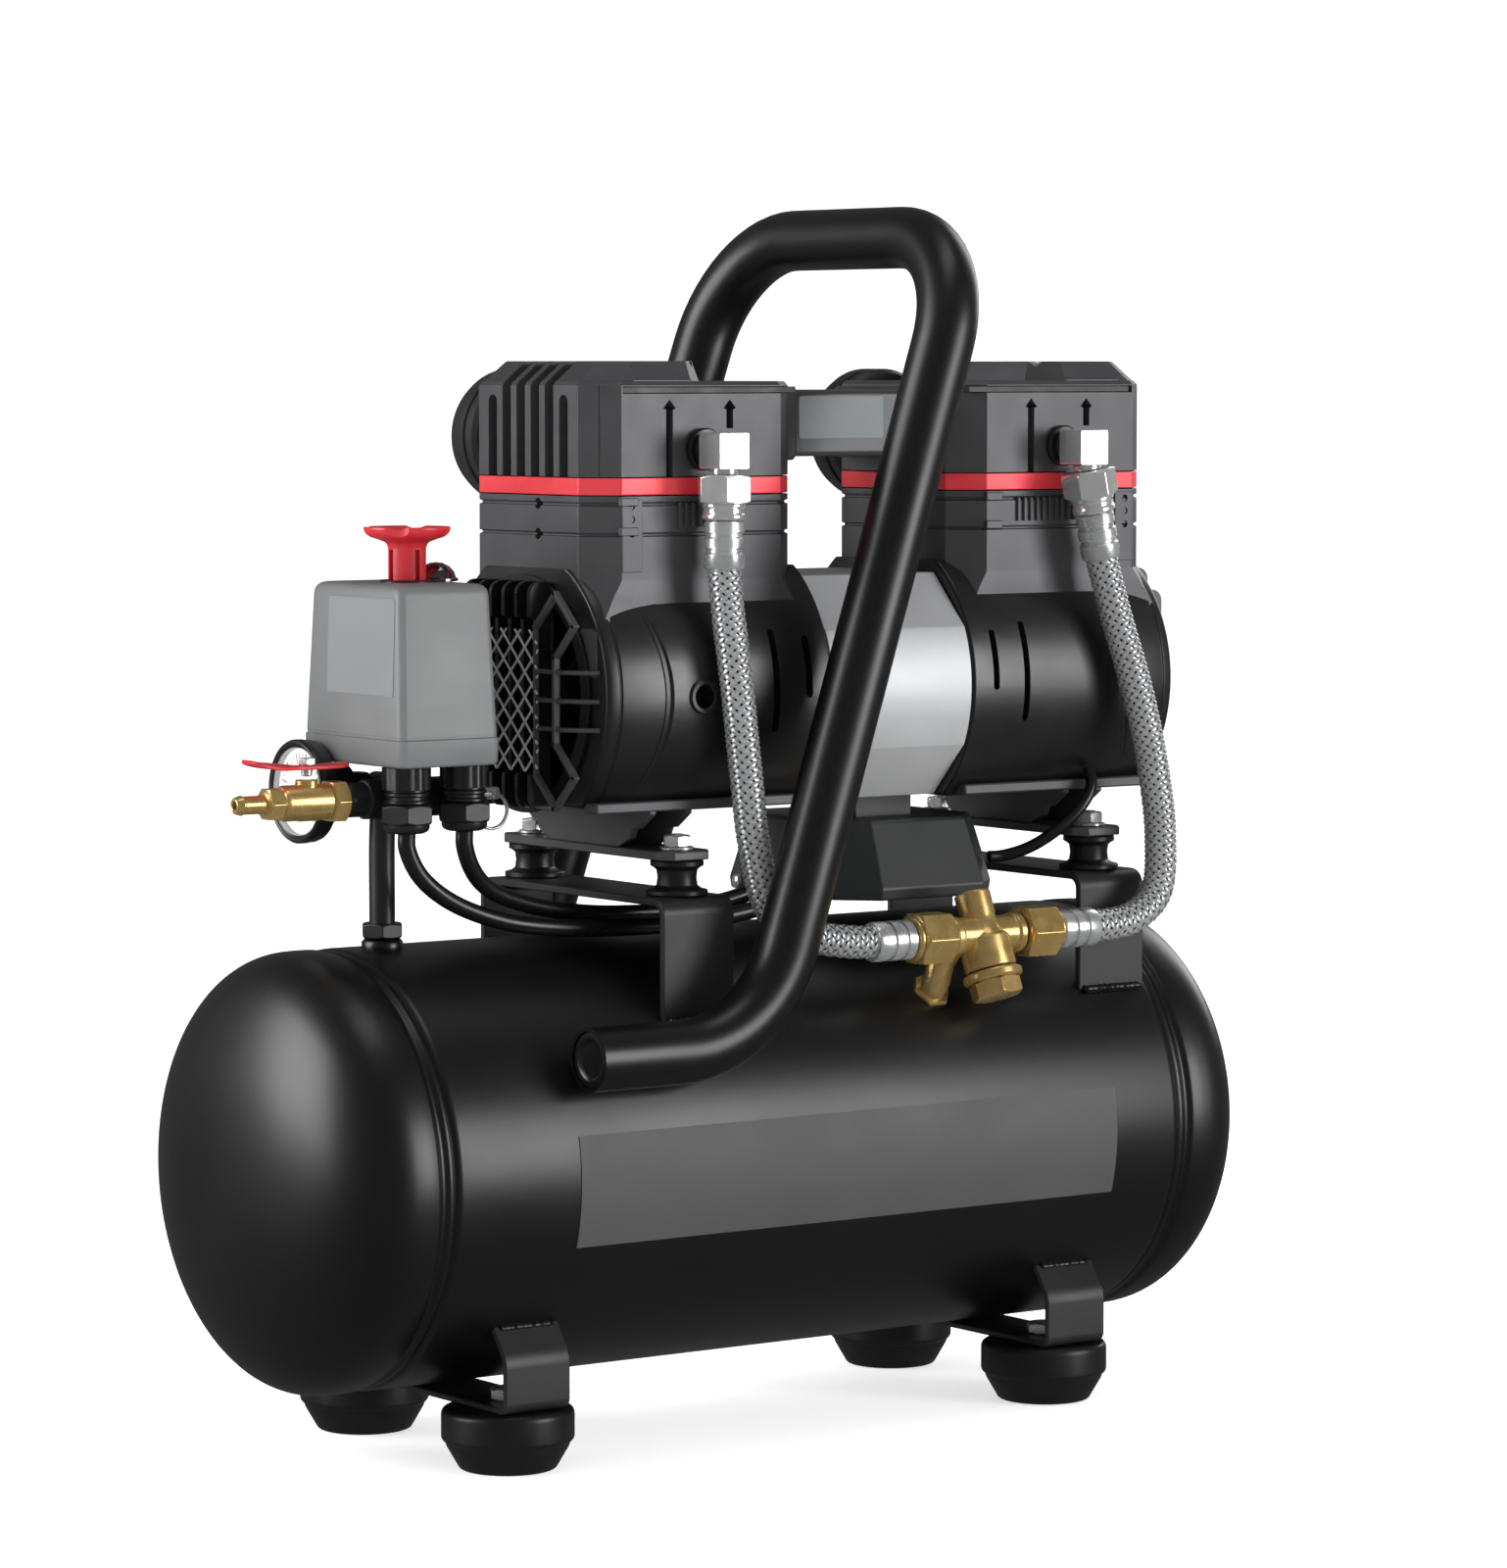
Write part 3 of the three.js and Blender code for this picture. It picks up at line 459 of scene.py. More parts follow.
def carried(section, path, scales=None):
    """Carry an outline along a path and cap both ends."""
    rings = []
    for i, (point, a, b) in enumerate(framed(path)):
        size = scales[i] if scales else 1.0
        rings.append([point + (a * u + b * v) * size for u, v in section])
    verts, faces = skin(rings)
    count = len(section)
    return verts, [*faces, list(range(count)), list(range(len(verts) - count, len(verts)))]


def disc(radius, sides=24):
    return [
        (radius * math.cos(math.tau * i / sides), radius * math.sin(math.tau * i / sides))
        for i in range(sides)
    ]


def tube(radius, path, sides=24):
    return carried(disc(radius, sides), [Vector(p) for p in path])


def sheet(path, thick, reach=0.0, steps=5):
    """The edge-on outline of sheet metal bent along an open path."""
    middle = soften(path, reach, steps, closed=False) if reach else [Vector(p) for p in path]
    sides = [[], []]
    for i, point in enumerate(middle):
        way = middle[min(i + 1, len(middle) - 1)] - middle[max(i - 1, 0)]
        normal = Vector((-way.y, way.x)).normalized() * thick / 2
        sides[0].append(point + normal)
        sides[1].append(point - normal)
    return [*sides[0], *reversed(sides[1])]


# %% [markdown]
# A shape becomes a piece when it gets a mesh, a finish and a body to ride on. Real edges are
# never knife sharp, so most pieces get a small bevel, and the normals are weighted so that
# flat faces stay flat while the bevel catches the light. `carve` cuts recesses with closed
# solids, and applies the cut at once so nothing invisible stays behind.

# %% Making pieces
made = []


def mesh_of(name, shape):
    verts, faces = shape
    mesh = bpy.data.meshes.new(name)
    mesh.from_pydata([Vector(v) * MM for v in verts], [], faces)
    work = bmesh.new()
    work.from_mesh(mesh)
    bmesh.ops.recalc_face_normals(work, faces=work.faces)
    work.to_mesh(mesh)
    work.free()
    return mesh


def piece(name, shape, finish, body="frame", replaces=(), bevel=0.0, crease=32):
    """A named object with its finish, on its body; bevel is in millimetres."""
    obj = bpy.data.objects.new(name, mesh_of(name, shape))
    bpy.context.scene.collection.objects.link(obj)
    obj.data.materials.append(finish)
    obj.data.polygons.foreach_set("use_smooth", [True] * len(obj.data.polygons))
    obj.data.set_sharp_from_angle(angle=math.radians(crease))
    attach(obj, body)
    if replaces:
        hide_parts(*([replaces] if isinstance(replaces, str) else replaces))
    if bevel:
        edge = obj.modifiers.new("eased edges", "BEVEL")
        edge.width, edge.segments = bevel * MM, 2
        edge.limit_method, edge.angle_limit = "ANGLE", math.radians(crease)
        edge.miter_outer = "MITER_ARC"
        obj.modifiers.new("flat faces", "WEIGHTED_NORMAL").keep_sharp = True
    made.append(name)
    return obj


def carve(obj, *cutters, crease=32):
    """Ease the edges for good, then cut closed solids out; the cuts' own edges stay crisp."""
    flat = any(step.type == "WEIGHTED_NORMAL" for step in obj.modifiers)
    for step in [step for step in obj.modifiers if step.type == "WEIGHTED_NORMAL"]:
        obj.modifiers.remove(step)
    tools = []
    for shape in cutters:
        tools.append(bpy.data.objects.new("tool", mesh_of("tool", shape)))
        bpy.context.scene.collection.objects.link(tools[-1])
        cut = obj.modifiers.new("cut", "BOOLEAN")
        cut.operation, cut.solver, cut.object = "DIFFERENCE", "EXACT", tools[-1]
    bpy.context.view_layer.update()
    result = bpy.data.meshes.new_from_object(obj.evaluated_get(bpy.context.evaluated_depsgraph_get()))
    obj.modifiers.clear()
    spent, obj.data = obj.data, result
    result.name = obj.name
    bpy.data.meshes.remove(spent)
    for tool in tools:
        bpy.data.meshes.remove(tool.data)
    result.polygons.foreach_set("use_smooth", [True] * len(result.polygons))
    result.set_sharp_from_angle(angle=math.radians(crease))
    if flat:
        obj.modifiers.new("flat faces", "WEIGHTED_NORMAL").keep_sharp = True
    return obj


# %% [markdown]
# ## Finishes
# Every finish below starts from the real one. `finish` builds what they share: two close
# shades in soft patches, a roughness that wanders with the patches, and a fine grain as
# bump. Patch and grain are sizes in millimetres. Where the true grain is finer than the
# picture can show, it is drawn coarser, and the comment says so.

# %% A procedural finish


def finish(name, slot, shades, patch, rough, grain, relief, stretch=(1, 1, 1), **sockets):
    """Two hex shades, patch size, roughness range, grain size and grain height."""
    material = bpy.data.materials.new(name)
    material.use_nodes = True
    tree = material.node_tree
    shader = tree.nodes["Principled BSDF"]
    for socket, value in sockets.items():
        shader.inputs[socket.replace("_", " ")].default_value = value
    where = add_node(tree, "ShaderNodeTexCoord")
    patches = add_node(
        tree,
        "ShaderNodeTexNoise",
        {"Scale": 1 / (patch * MM), "Detail": 4.0},
        {"Vector": where.outputs["Object"]},
    )
    shade = add_node(
        tree,
        "ShaderNodeMix",
        {"data_type": "RGBA", 6: linear(shades[0]), 7: linear(shades[1])},
        {0: patches.outputs[0]},
    )
    gloss = add_node(
        tree,
        "ShaderNodeMapRange",
        {"From Min": 0.3, "From Max": 0.7, "To Min": rough[0], "To Max": rough[1]},
        {"Value": patches.outputs[0]},
    )
    drawn = add_node(tree, "ShaderNodeMapping", {"Scale": stretch}, {0: where.outputs["Object"]})
    grains = add_node(
        tree,
        "ShaderNodeTexNoise",
        {"Scale": 1 / (grain * MM), "Detail": 2.0},
        {"Vector": drawn.outputs[0]},
    )
    bump = add_node(
        tree,
        "ShaderNodeBump",
        {"Strength": 1.0, "Distance": relief * MM},
        {"Height": grains.outputs[0]},
    )
    tree.links.new(shade.outputs[2], shader.inputs["Base Color"])
    tree.links.new(gloss.outputs[0], shader.inputs["Roughness"])
    tree.links.new(bump.outputs[0], shader.inputs["Normal"])
    return material


# %% [markdown]
# The tank, the handle and the brackets are steel. The tank and handle are powder coated in
# gloss black and baked, which leaves a faint orange-peel ripple about three millimetres
# across. The specular level is kept low, because a real black gloss shows mostly the black
# cards around it.

# %% Painted metals
enamel = finish(
    "baked black powder enamel on steel", "black_enamel",
    ("#050506", "#08080a"), patch=60, rough=(0.32, 0.38), grain=3.0, relief=0.010,
    Specular_IOR_Level=0.55,
)
# Semi-gloss powder coat, sprayed thinly on the pressed brackets: it looks greyer than the tank.
bracket_paint = finish(
    "semi-gloss graphite powder coat on sheet steel", "bracket_paint",
    ("#262728", "#2f2f30"), patch=25, rough=(0.36, 0.46), grain=0.9, relief=0.012,
    Metallic=0.35,
)
# Spray paint over a die casting keeps the casting's fine orange skin and a metallic sheen.
cast_paint = finish(
    "satin graphite paint on die-cast aluminium", "cast_charcoal",
    ("#48484a", "#525254"), patch=18, rough=(0.38, 0.46), grain=0.8, relief=0.010,
    Metallic=0.55,
)
# The bell housings are sprayed darker and glossier than the blocks above them.
bell_paint = finish(
    "gloss black paint on die-cast aluminium", "cast_charcoal",
    ("#0e0e0f", "#151516"), patch=20, rough=(0.30, 0.36), grain=1.0, relief=0.010,
    Specular_IOR_Level=0.7,
)

# %% [markdown]
# The stator's shell is a drawn aluminium tube, so its marks run along the shaft. The swivel
# nuts are nickel plated and bright. The check valve and the tap are turned from brass bar
# and tumbled, and the hose braid is stainless wire. Each metallic and roughness value starts
# from what is typical for that metal and is then matched to the object. Some end below 1,
# because brushed, plated and woven skins scatter part of the light evenly. All keep the
# default index, because a metal's colour sets its reflection.

# %% Bare metals
drawn_aluminium = finish(
    "drawn aluminium tube, brushed along its length", "stator_aluminium",
    ("#a9aaac", "#bbbcbe"), patch=30, rough=(0.42, 0.50), grain=0.7, relief=0.004,
    stretch=(0.06, 1, 1), Metallic=0.4,
)
machined_aluminium = finish(
    "machined aluminium casting", "machined_aluminium",
    ("#b4b5b7", "#cccdcf"), patch=12, rough=(0.28, 0.40), grain=0.6, relief=0.006,
    Metallic=1.0,
)
ground_steel = finish(
    "ground steel shaft", "machined_steel",
    ("#8c8e92", "#a6a8ab"), patch=10, rough=(0.22, 0.34), grain=0.5, relief=0.004,
    stretch=(1, 0.1, 0.1), Metallic=1.0,
)
zinc = finish(
    "bright zinc plate on steel", "zinc_steel",
    ("#c2c4c6", "#e6e6e6"), patch=6, rough=(0.22, 0.34), grain=0.5, relief=0.004,
    Metallic=0.82,
)
nickel = finish(
    "polished nickel plate on brass", "chrome",
    ("#ebebeb", "#fafafa"), patch=9, rough=(0.12, 0.20), grain=1.5, relief=0.003,
    Metallic=0.86,
)
wire = finish(
    "bright stainless braid wire", "steel_braid",
    ("#b4b6b8", "#dededf"), patch=2.5, rough=(0.24, 0.36), grain=0.6, relief=0.006,
    Metallic=0.7,
)
brass = finish(
    "turned and tumbled brass bar", "brass",
    ("#bd9750", "#dcc084"), patch=7, rough=(0.22, 0.32), grain=0.9, relief=0.006,
    Metallic=0.8,
)

# %% [markdown]
# The switch cover and the guards are moulded. ABS comes out of a spark-eroded mould with
# a matt leathery grain of about half a millimetre. The grain is drawn a little coarser here
# so that it still shows from two metres. The feet are carbon-black rubber, pressed in a
# mould that was never polished, so they stay dull. The red parts are polyamide and anodised
# aluminium.

# %% Plastics and rubber
black_abs = finish(
    "moulded black glass-filled polyamide", "black_plastic",
    ("#0c0c0d", "#141415"), patch=14, rough=(0.26, 0.36), grain=0.8, relief=0.010,
    Specular_IOR_Level=0.7,
)
grey_abs = finish(
    "moulded grey ABS with eroded grain", "grey_plastic",
    ("#616263", "#6a6b6c"), patch=20, rough=(0.42, 0.52), grain=0.7, relief=0.014,
    Coat_Weight=0.15, Coat_Roughness=0.35,
)
dark_sheet = finish(
    "satin black paint on folded sheet", "grey_plastic",
    ("#141415", "#1b1b1c"), patch=20, rough=(0.30, 0.38), grain=0.8, relief=0.010,
)
rubber = finish(
    "moulded carbon-black rubber", "rubber",
    ("#090909", "#111111"), patch=10, rough=(0.34, 0.46), grain=0.7, relief=0.020,
)
red_plastic = finish(
    "moulded red polyamide", "red_plastic",
    ("#b01f28", "#c42a33"), patch=8, rough=(0.28, 0.38), grain=0.7, relief=0.008,
    Subsurface_Weight=0.05, Subsurface_Radius=(0.004, 0.001, 0.001),
)
red_plate = finish(
    "red anodised aluminium plate", "red_gasket",
    ("#cc2932", "#e0464f"), patch=16, rough=(0.30, 0.38), grain=0.6, relief=0.006,
    Metallic=0.3,
)
pvc = finish(
    "extruded black PVC sheath", "cable_pvc",
    ("#0b0b0c", "#111112"), patch=12, rough=(0.26, 0.36), grain=1.2, relief=0.010,
)
tank_label = finish(
    "matt grey vinyl label", "grey_plastic",
    ("#3f3f3f", "#444444"), patch=30, rough=(0.50, 0.60), grain=0.8, relief=0.004,
)
pale_label = finish(
    "matt silver-grey polyester label", "grey_plastic",
    ("#6e7274", "#74787a"), patch=24, rough=(0.46, 0.56), grain=0.8, relief=0.004,
)
# Expanded-metal grille wire, coloured light grey as a painted highlight: thin, so mostly edges that catch
# light.
grille_highlight_grey = finish(
    "grille wire in painted highlight grey", "black_plastic",
    ("#9c9d9f", "#b4b5b7"), patch=6, rough=(0.30, 0.40), grain=0.8, relief=0.006,
    Metallic=0.3,
)
cap_sheet = finish(
    "satin grey powder coat on folded sheet", "grey_plastic",
    ("#2b2c2d", "#323334"), patch=20, rough=(0.38, 0.48), grain=0.8, relief=0.010,
    Metallic=0.2,
)
chrome_black = finish(
    "black chrome plate on a dome nut", "chrome",
    ("#77787a", "#8d8e90"), patch=5, rough=(0.10, 0.18), grain=1.0, relief=0.003,
    Metallic=1.0,
)
dial_card = finish(
    "white lacquered dial card", "grey_plastic",
    ("#e6e6e4", "#f0f0ee"), patch=8, rough=(0.35, 0.45), grain=0.8, relief=0.002,
)
glass = finish(
    "clear acrylic gauge window", "grey_plastic",
    ("#ffffff", "#fafafa"), patch=20, rough=(0.02, 0.05), grain=4, relief=0.001,
    IOR=1.5, Alpha=0.12,
)

# %% [markdown]
# ## The tank
# An air receiver is a rolled and welded barrel with two pressed ends. Each end is deep drawn
# from a disc, then pushed into the barrel and welded round, which leaves a stepped ring near
# each end. One profile, turned about the tank's axis, gives dome, step and weld together.

# %% Tank
SIDES = {"left": -1, "right": 1}
TANK_HALF = tank_high.x
SEAM = {"shoulder": 187.0, "weld": 175.0}


def tank_half():
    """From the left pole to the middle, as (radius, x)."""
    depth = TANK_HALF - SEAM["shoulder"]
    dome = []
    for i in range(32):
        angle = math.radians(90) * i / 32
        dome.append((TANK_R * math.sin(angle) ** 0.85, -SEAM["shoulder"] - depth * math.cos(angle) ** 0.85))
    # the pressed end's rim, a dip, the weld bead in the dip, and the barrel's edge
    steps = [(-SEAM["shoulder"], 0), (-181.5, 0), (-180.3, 0.35), (-179.4, 1.3), (-178.2, 1.5)]
    steps += [(-177.2, 1.3), (-176.4, 0.75), (-175.4, 0.55), (-174.4, 0.75), (-173.4, 1.2), (-172.5, 0.5)]
    steps += [(-171.6, 0.1), (-170.4, 0)]
    return dome + [(TANK_R - drop, x) for x, drop in steps]


half = tank_half()
tank_profile = half + [(radius, -x) for radius, x in reversed(half)]
shell = turned(tank_profile, axis_x(0, TANK_Z), sides=160)
riser_boss = rod(8, (-153, 0, TANK_Z + TANK_R - 3), (-153, 0, TANK_Z + TANK_R + 3), 32, 1.2)
drain_way = Vector((0, 1, -1)).normalized()


def down_drain(distance, x=0.0):
    """A point out from the tank's axis along the drain, down and back at 45 degrees."""
    return Vector((x, 0, TANK_Z)) + drain_way * distance


drain_boss = rod(10, down_drain(81), down_drain(89), 32, 1.0)
piece("tank_shell", merged(shell, riser_boss, drain_boss), enamel, replaces="tank", crease=50)
print("tank profile has", len(tank_profile), "points")

# %% [markdown]
# The drain is a brass boss with a thumb screw. Opening it after use lets out the water that
# the air leaves behind. It sits low at the back of the tank.

# %% Drain
drain_body = merged(
    hex_bar(19, 0, 5.5, aim(down_drain(90.0), down_drain(100)), bore=3.4),
    turned([(3.4, 0), (6.3, 0), (6.3, 7), (3.4, 7)], aim(down_drain(83.5), down_drain(90)), 32),
    turned(
        [(3.4, 0), (6.5, 0), (6.5, 1.2), (5.9, 1.6), (5.9, 2.4), (6.5, 2.8), (6.5, 7.4), (5.9, 8), (3.4, 8)],
        aim(down_drain(95.5), down_drain(100)), 40,
    ),
)
piece("drain_boss", drain_body, brass, replaces="drain_valve", bevel=0.25)


def knurled(radius, ridges, depth=0.5):
    """A round outline with fine ridges, as on a thumb screw."""
    points = []
    for i in range(ridges * 4):
        size = radius - (depth if i % 4 in (2, 3) else 0)
        points.append(
            (size * math.cos(math.tau * i / (ridges * 4)), size * math.sin(math.tau * i / (ridges * 4)))
        )
    return points


screw = merged(
    rod(3, down_drain(91), down_drain(106), 24),
    prism(knurled(7.4, 20), 0, 4.2, aim(down_drain(104.6), down_drain(110))),
    rod(2, down_drain(108, -10), down_drain(108, 10), 16, 0.6),
)
piece("drain_thumb_screw", screw, brass, body="drain_key", replaces="drain_screw", bevel=0.2)

# %% [markdown]
# ## Feet and their brackets
# Each pair of feet hangs on one strip of steel, bent up at both ends and again against the
# tank, where it is welded. The edge-on outline of the bent strip is extruded to its width.
# The feet are turned: a broad band for the bracket, a groove, and a cone down to the floor.

# %% Foot brackets
STRIP = {"thick": 2.4, "width": 29.0, "bend": 3.2}
foot_low, foot_high, _ = span("rubber_foot_left_near")
FOOT_R, FOOT_TOP = (foot_high.x - foot_low.x) / 2, foot_high.z


def bead(path, radius, seed):
    """A hand-laid weld bead: a tube whose thickness ripples with each pass of the torch."""
    rng = random.Random(seed)
    points = []
    for a, b in zip(path, path[1:]):
        steps = max(2, int((Vector(b) - Vector(a)).length / 0.8))
        points += [Vector(a).lerp(Vector(b), i / steps) for i in range(steps)]
    points.append(Vector(path[-1]))
    sizes = [1 + 0.14 * math.sin(i * 1.9) + rng.uniform(-0.05, 0.05) for i in range(len(points))]
    sizes[0] = sizes[-1] = 0.4
    return carried(disc(radius, 12), points, sizes)


for side, sign in SIDES.items():
    _, _, bracket = span(f"foot_bracket_{side}")
    low = FOOT_TOP + 0.3 + STRIP["thick"] / 2
    arm = [(63.2, 57.0), (72, 45), (72, low)]
    path = [*arm, *[(-y, z) for y, z in reversed(arm)]]
    outline = sheet(path, STRIP["thick"], STRIP["bend"])
    reach = (bracket.x - STRIP["width"] / 2, bracket.x + STRIP["width"] / 2)
    strip = prism(outline, *reach, axis_x())
    washers = [hex_bar(13, low + 1.3, low + 5.6, axis_z(bracket.x, y), crown=True) for y in (-52, 52)]
    piece(f"foot_strip_{side}", strip, bracket_paint, replaces=f"foot_bracket_{side}", bevel=0.5)
    piece(f"foot_nuts_{side}", merged(*washers), zinc, bevel=0.2)
    welds = []
    for near in (-1, 1):
        x0, x1 = reach[0] + 2, reach[1] - 2
        welds.append(bead([(x0, near * 64.6, 56.2), (x1, near * 64.6, 56.2)], 1.3, 5 + near))
    piece(f"foot_welds_{side}", merged(*welds), enamel)

# %% Rubber feet
FOOT_PROFILE = [
    (0, 3.0), (9, 3.0), (10, 0.6), (11, 0), (17.2, 0), (18.6, 0.6), (23.6, 9.2), (23.8, 10.2),
    (24.4, 10.9), (25.0, 11.4), (25.5, 12.4), (25.5, 21.6), (25.1, 22.9), (24.1, 23.8), (22.4, 24), (0, 24),
]
for side, sign in SIDES.items():
    for end in ("near", "far"):
        _, _, foot = span(f"rubber_foot_{side}_{end}")
        shape = turned(soften(FOOT_PROFILE, 0.8, 3, closed=False), axis_z(foot.x, foot.y), 72)
        piece(f"foot_{side}_{end}", shape, rubber, replaces=f"rubber_foot_{side}_{end}", crease=40)
print("four feet,", round(FOOT_R * 2, 1), "mm across")

# %% [markdown]
# ## The carrying handle
# One 25 mm tube is bent five times: a welded foot along each side of the tank, two leaning
# legs, and the cross bar. A bender rolls the tube round a former, so each corner is part of
# a circle. The open ends are closed with pushed-in plastic plugs.

# %% Handle
HANDLE = {"radius": 12.3, "low": (86.0, 158.6), "end": -116.0, "foot": -35.6, "lean": 0.335}
HANDLE["top"] = (80.8, 470.0)
top_x = HANDLE["foot"] + HANDLE["lean"] * (HANDLE["top"][1] - HANDLE["low"][1])
(low_y, low_z), (top_y, top_z) = HANDLE["low"], HANDLE["top"]
near_side = [(HANDLE["end"] + 0.4, -low_y, low_z), (HANDLE["foot"], -low_y, low_z), (top_x, -top_y, top_z)]
corners = near_side + [(x, -y, z) for x, y, z in reversed(near_side)]
handle_path = soften(corners, [0, 50, 45, 45, 50, 0], 14, closed=False)
tube_solid = carried(disc(HANDLE["radius"], 40), handle_path)
handle = piece("handle_tube", tube_solid, enamel, replaces="handle", crease=50)
mouths = [rod(10.8, (HANDLE["end"] - 1, y, low_z), (HANDLE["end"] + 9, y, low_z)) for y in (-low_y, low_y)]
carve(handle, *mouths, crease=50)
plugs = []
for y in (-low_y, low_y):
    profile = [(0, 2.4), (6.8, 2.2), (7.8, 1.2), (8.6, 0.9), (10.4, 1.2), (10.7, 2.0), (10.7, 8), (0, 8)]
    plugs.append(turned(profile, aim((HANDLE["end"], y, low_z), (0, y, low_z)), 40))
piece("handle_plugs", merged(*plugs), black_abs, crease=40)
seats = []
for sign in (-1, 1):
    # the tube touches the tank on the line between the two axes; a bead runs above and below it
    toward_tank = Vector((0, -sign * low_y, TANK_Z - low_z)).normalized()
    crossways = Vector((0, toward_tank.z, -toward_tank.y))
    for turn in (-1, 1):
        spot = Vector((0, sign * low_y, low_z)) + toward_tank * 10.6 + crossways * turn * 6.2
        ends = [spot + X * x for x in (HANDLE["end"] + 6, HANDLE["foot"] - 34)]
        seats.append(bead(ends, 1.9, 11 + turn + sign))
piece("handle_welds", merged(*seats), enamel)
print("handle tube", round(path_length(handle_path)), "mm long")

# %% [markdown]
# ## Bridges and rubber mounts
# The motor stands on two U-shaped saddles of sheet steel, welded astride the tank. Four
# bonded rubber mounts between saddle and motor soak up the shaking of the pistons.

# %% Saddles
SADDLE = {"width": 33.0, "top": 215.0, "half": 65.0, "thick": 3.0, "bend": 5.0}
mounts = {side: span(f"rubber_mount_{side}_near")[2].x for side in SIDES}
for side, sign in SIDES.items():
    y, z = SADDLE["half"] - SADDLE["thick"] / 2, SADDLE["top"] - SADDLE["thick"] / 2
    foot = TANK_Z + math.sqrt(TANK_R**2 - y**2) - 1.0
    outline = sheet([(-y, foot), (-y, z), (y, z), (y, foot)], SADDLE["thick"], SADDLE["bend"])
    x0, x1 = mounts[side] - SADDLE["width"] / 2, mounts[side] + SADDLE["width"] / 2
    saddle = prism(outline, x0, x1, axis_x())
    piece(f"saddle_{side}", saddle, bracket_paint, replaces=f"motor_bridge_{side}", bevel=0.5)
    welds = [
        bead([(x0 + 1.5, n * (y + 2.2), foot + 0.2), (x1 - 1.5, n * (y + 2.2), foot + 0.2)], 1.5, 21 + n)
        for n in (-1, 1)
    ]
    piece(f"saddle_welds_{side}", merged(*welds), enamel)

# %% Rubber mounts
for side in SIDES:
    for end in ("near", "far"):
        low, high, mount = span(f"rubber_mount_{side}_{end}")
        place = axis_z(mount.x, mount.y)
        base = low.z
        profile = [
            (0, base), (12, base), (12, base + 1.8), (9.6, base + 2.4), (8.0, base + 3.6), (7.6, base + 6.7),
            (8.0, base + 9.6), (9.2, base + 10.6), (10.4, base + 11.2), (10.4, base + 13.2), (0, base + 13.2),
        ]
        rubber_post = turned(profile, place, 48)
        piece(f"mount_{side}_{end}", rubber_post, rubber, replaces=f"rubber_mount_{side}_{end}", bevel=0.25)
        deck = high.z - 6
        stud = merged(
            rod(3, (mount.x, mount.y, deck - 5), (mount.x, mount.y, deck + 5.9), 24, 0.5),
            turned([(3.2, deck - 0.1), (6.6, deck - 0.1), (6.6, deck + 0.9), (3.2, deck + 0.9)], place, 40),
            hex_bar(10, deck + 1, deck + 5.4, place, bore=3),
        )
        piece(f"mount_stud_{side}_{end}", stud, zinc, bevel=0.15)
print("mounts at x", mounts)

# %% [markdown]
# ## The motor shell
# Between the two bell housings shows the motor's shell, a drawn aluminium section with round
# flanks and a flat top and bottom, so the windings sit in the round part and the flats
# leave room for the mounting screws. The outline is drawn once and extruded.

# %% Motor outline and shell
stator_low, stator_high, MOTOR = span("stator")
BARREL = {"radius": 60.0, "flat": 45.5, "top": 34.0, "shoulder": 24.0}


def motor_outline(grow=0.0, steps=18):
    """Section of the motor about its axis: round flanks, sloping shoulders, flat top."""
    radius, flat = BARREL["radius"] + grow, BARREL["flat"] + grow
    start = math.asin(BARREL["shoulder"] / BARREL["radius"])
    arc = [
        (radius * math.cos(a), radius * math.sin(a))
        for a in [start * (2 * i / steps - 1) for i in range(steps + 1)]
    ]
    right = [(BARREL["top"], -flat), *arc, (BARREL["top"], flat)]
    return right + [(-y, -z) for y, z in right]


shell = prism(motor_outline(-0.9), stator_low.x, stator_high.x, axis_x(0, MOTOR.z))
shell = piece("motor_shell", shell, drawn_aluminium, replaces="stator", bevel=0.6, crease=20)
bore = rod(31.6, (stator_low.x - 1, 0, MOTOR.z), (stator_high.x + 1, 0, MOTOR.z), 64)
carve(shell, bore, crease=32)
print("motor shell", round(stator_high.x - stator_low.x), "mm between the bells")

# %% [markdown]
# ## Bell housings and cylinder blocks
# Each end of the motor is closed by a die casting that does three jobs: bell housing,
# crankcase and cylinder block. It is drawn by the distance out from the motor's middle, so
# that one description serves both ends, mirrored. The drum is a stack of sections, the
# block above it a stack of eight-cornered outlines whose corners die away into the drum.

# %% Drum
DRUM = {"bell": 34.9, "end": 139.4, "groove": 133.6, "port": 96.5}
HOUSING = {"low": 45.3, "high": 49.0}


def outward(sign):
    """Local x, y, z become y, height above the motor's axis, and distance out from its middle."""
    return Matrix(((0, 0, sign, MOTOR.x), (1, 0, 0, 0), (0, 1, 0, MOTOR.z), (0, 0, 0, 1)))


def drum_outline(radius, low, high, steps=30):
    """A circle cut flat at the bottom and at the top."""
    points = []
    start, stop = math.asin(-low / radius), math.asin(min(high / radius, 0.999))
    for i in range(steps + 1):
        a = start + (stop - start) * i / steps
        points.append((radius * math.cos(a), radius * math.sin(a)))
    return points + [(-y, z) for y, z in reversed(points)]


def drum_sections():
    """(distance out, radius) pairs: a rolled edge at the motor, a groove, and a rounded rim."""
    rows = [(DRUM["bell"], 59.0), (35.4, 59.7), (36.4, 60.0), (52.0, 60.0), (66.0, 60.0), (100.0, 60.0)]
    rows += [(112.0, 59.9), (120.0, 59.5), (127.0, 58.9), (DRUM["groove"] - 0.6, 58.2)]
    rows += [(DRUM["groove"] - 0.3, 57.6), (DRUM["groove"] + 0.3, 57.6), (DRUM["groove"] + 0.6, 58.0)]
    rows += [(137.2, 57.6), (138.4, 57.1), (139.1, 56.4), (DRUM["end"], 55.4)]
    return [
        (out, drum_outline(radius, HOUSING["low"] - (60 - radius), HOUSING["high"]))
        for out, radius in rows
    ]


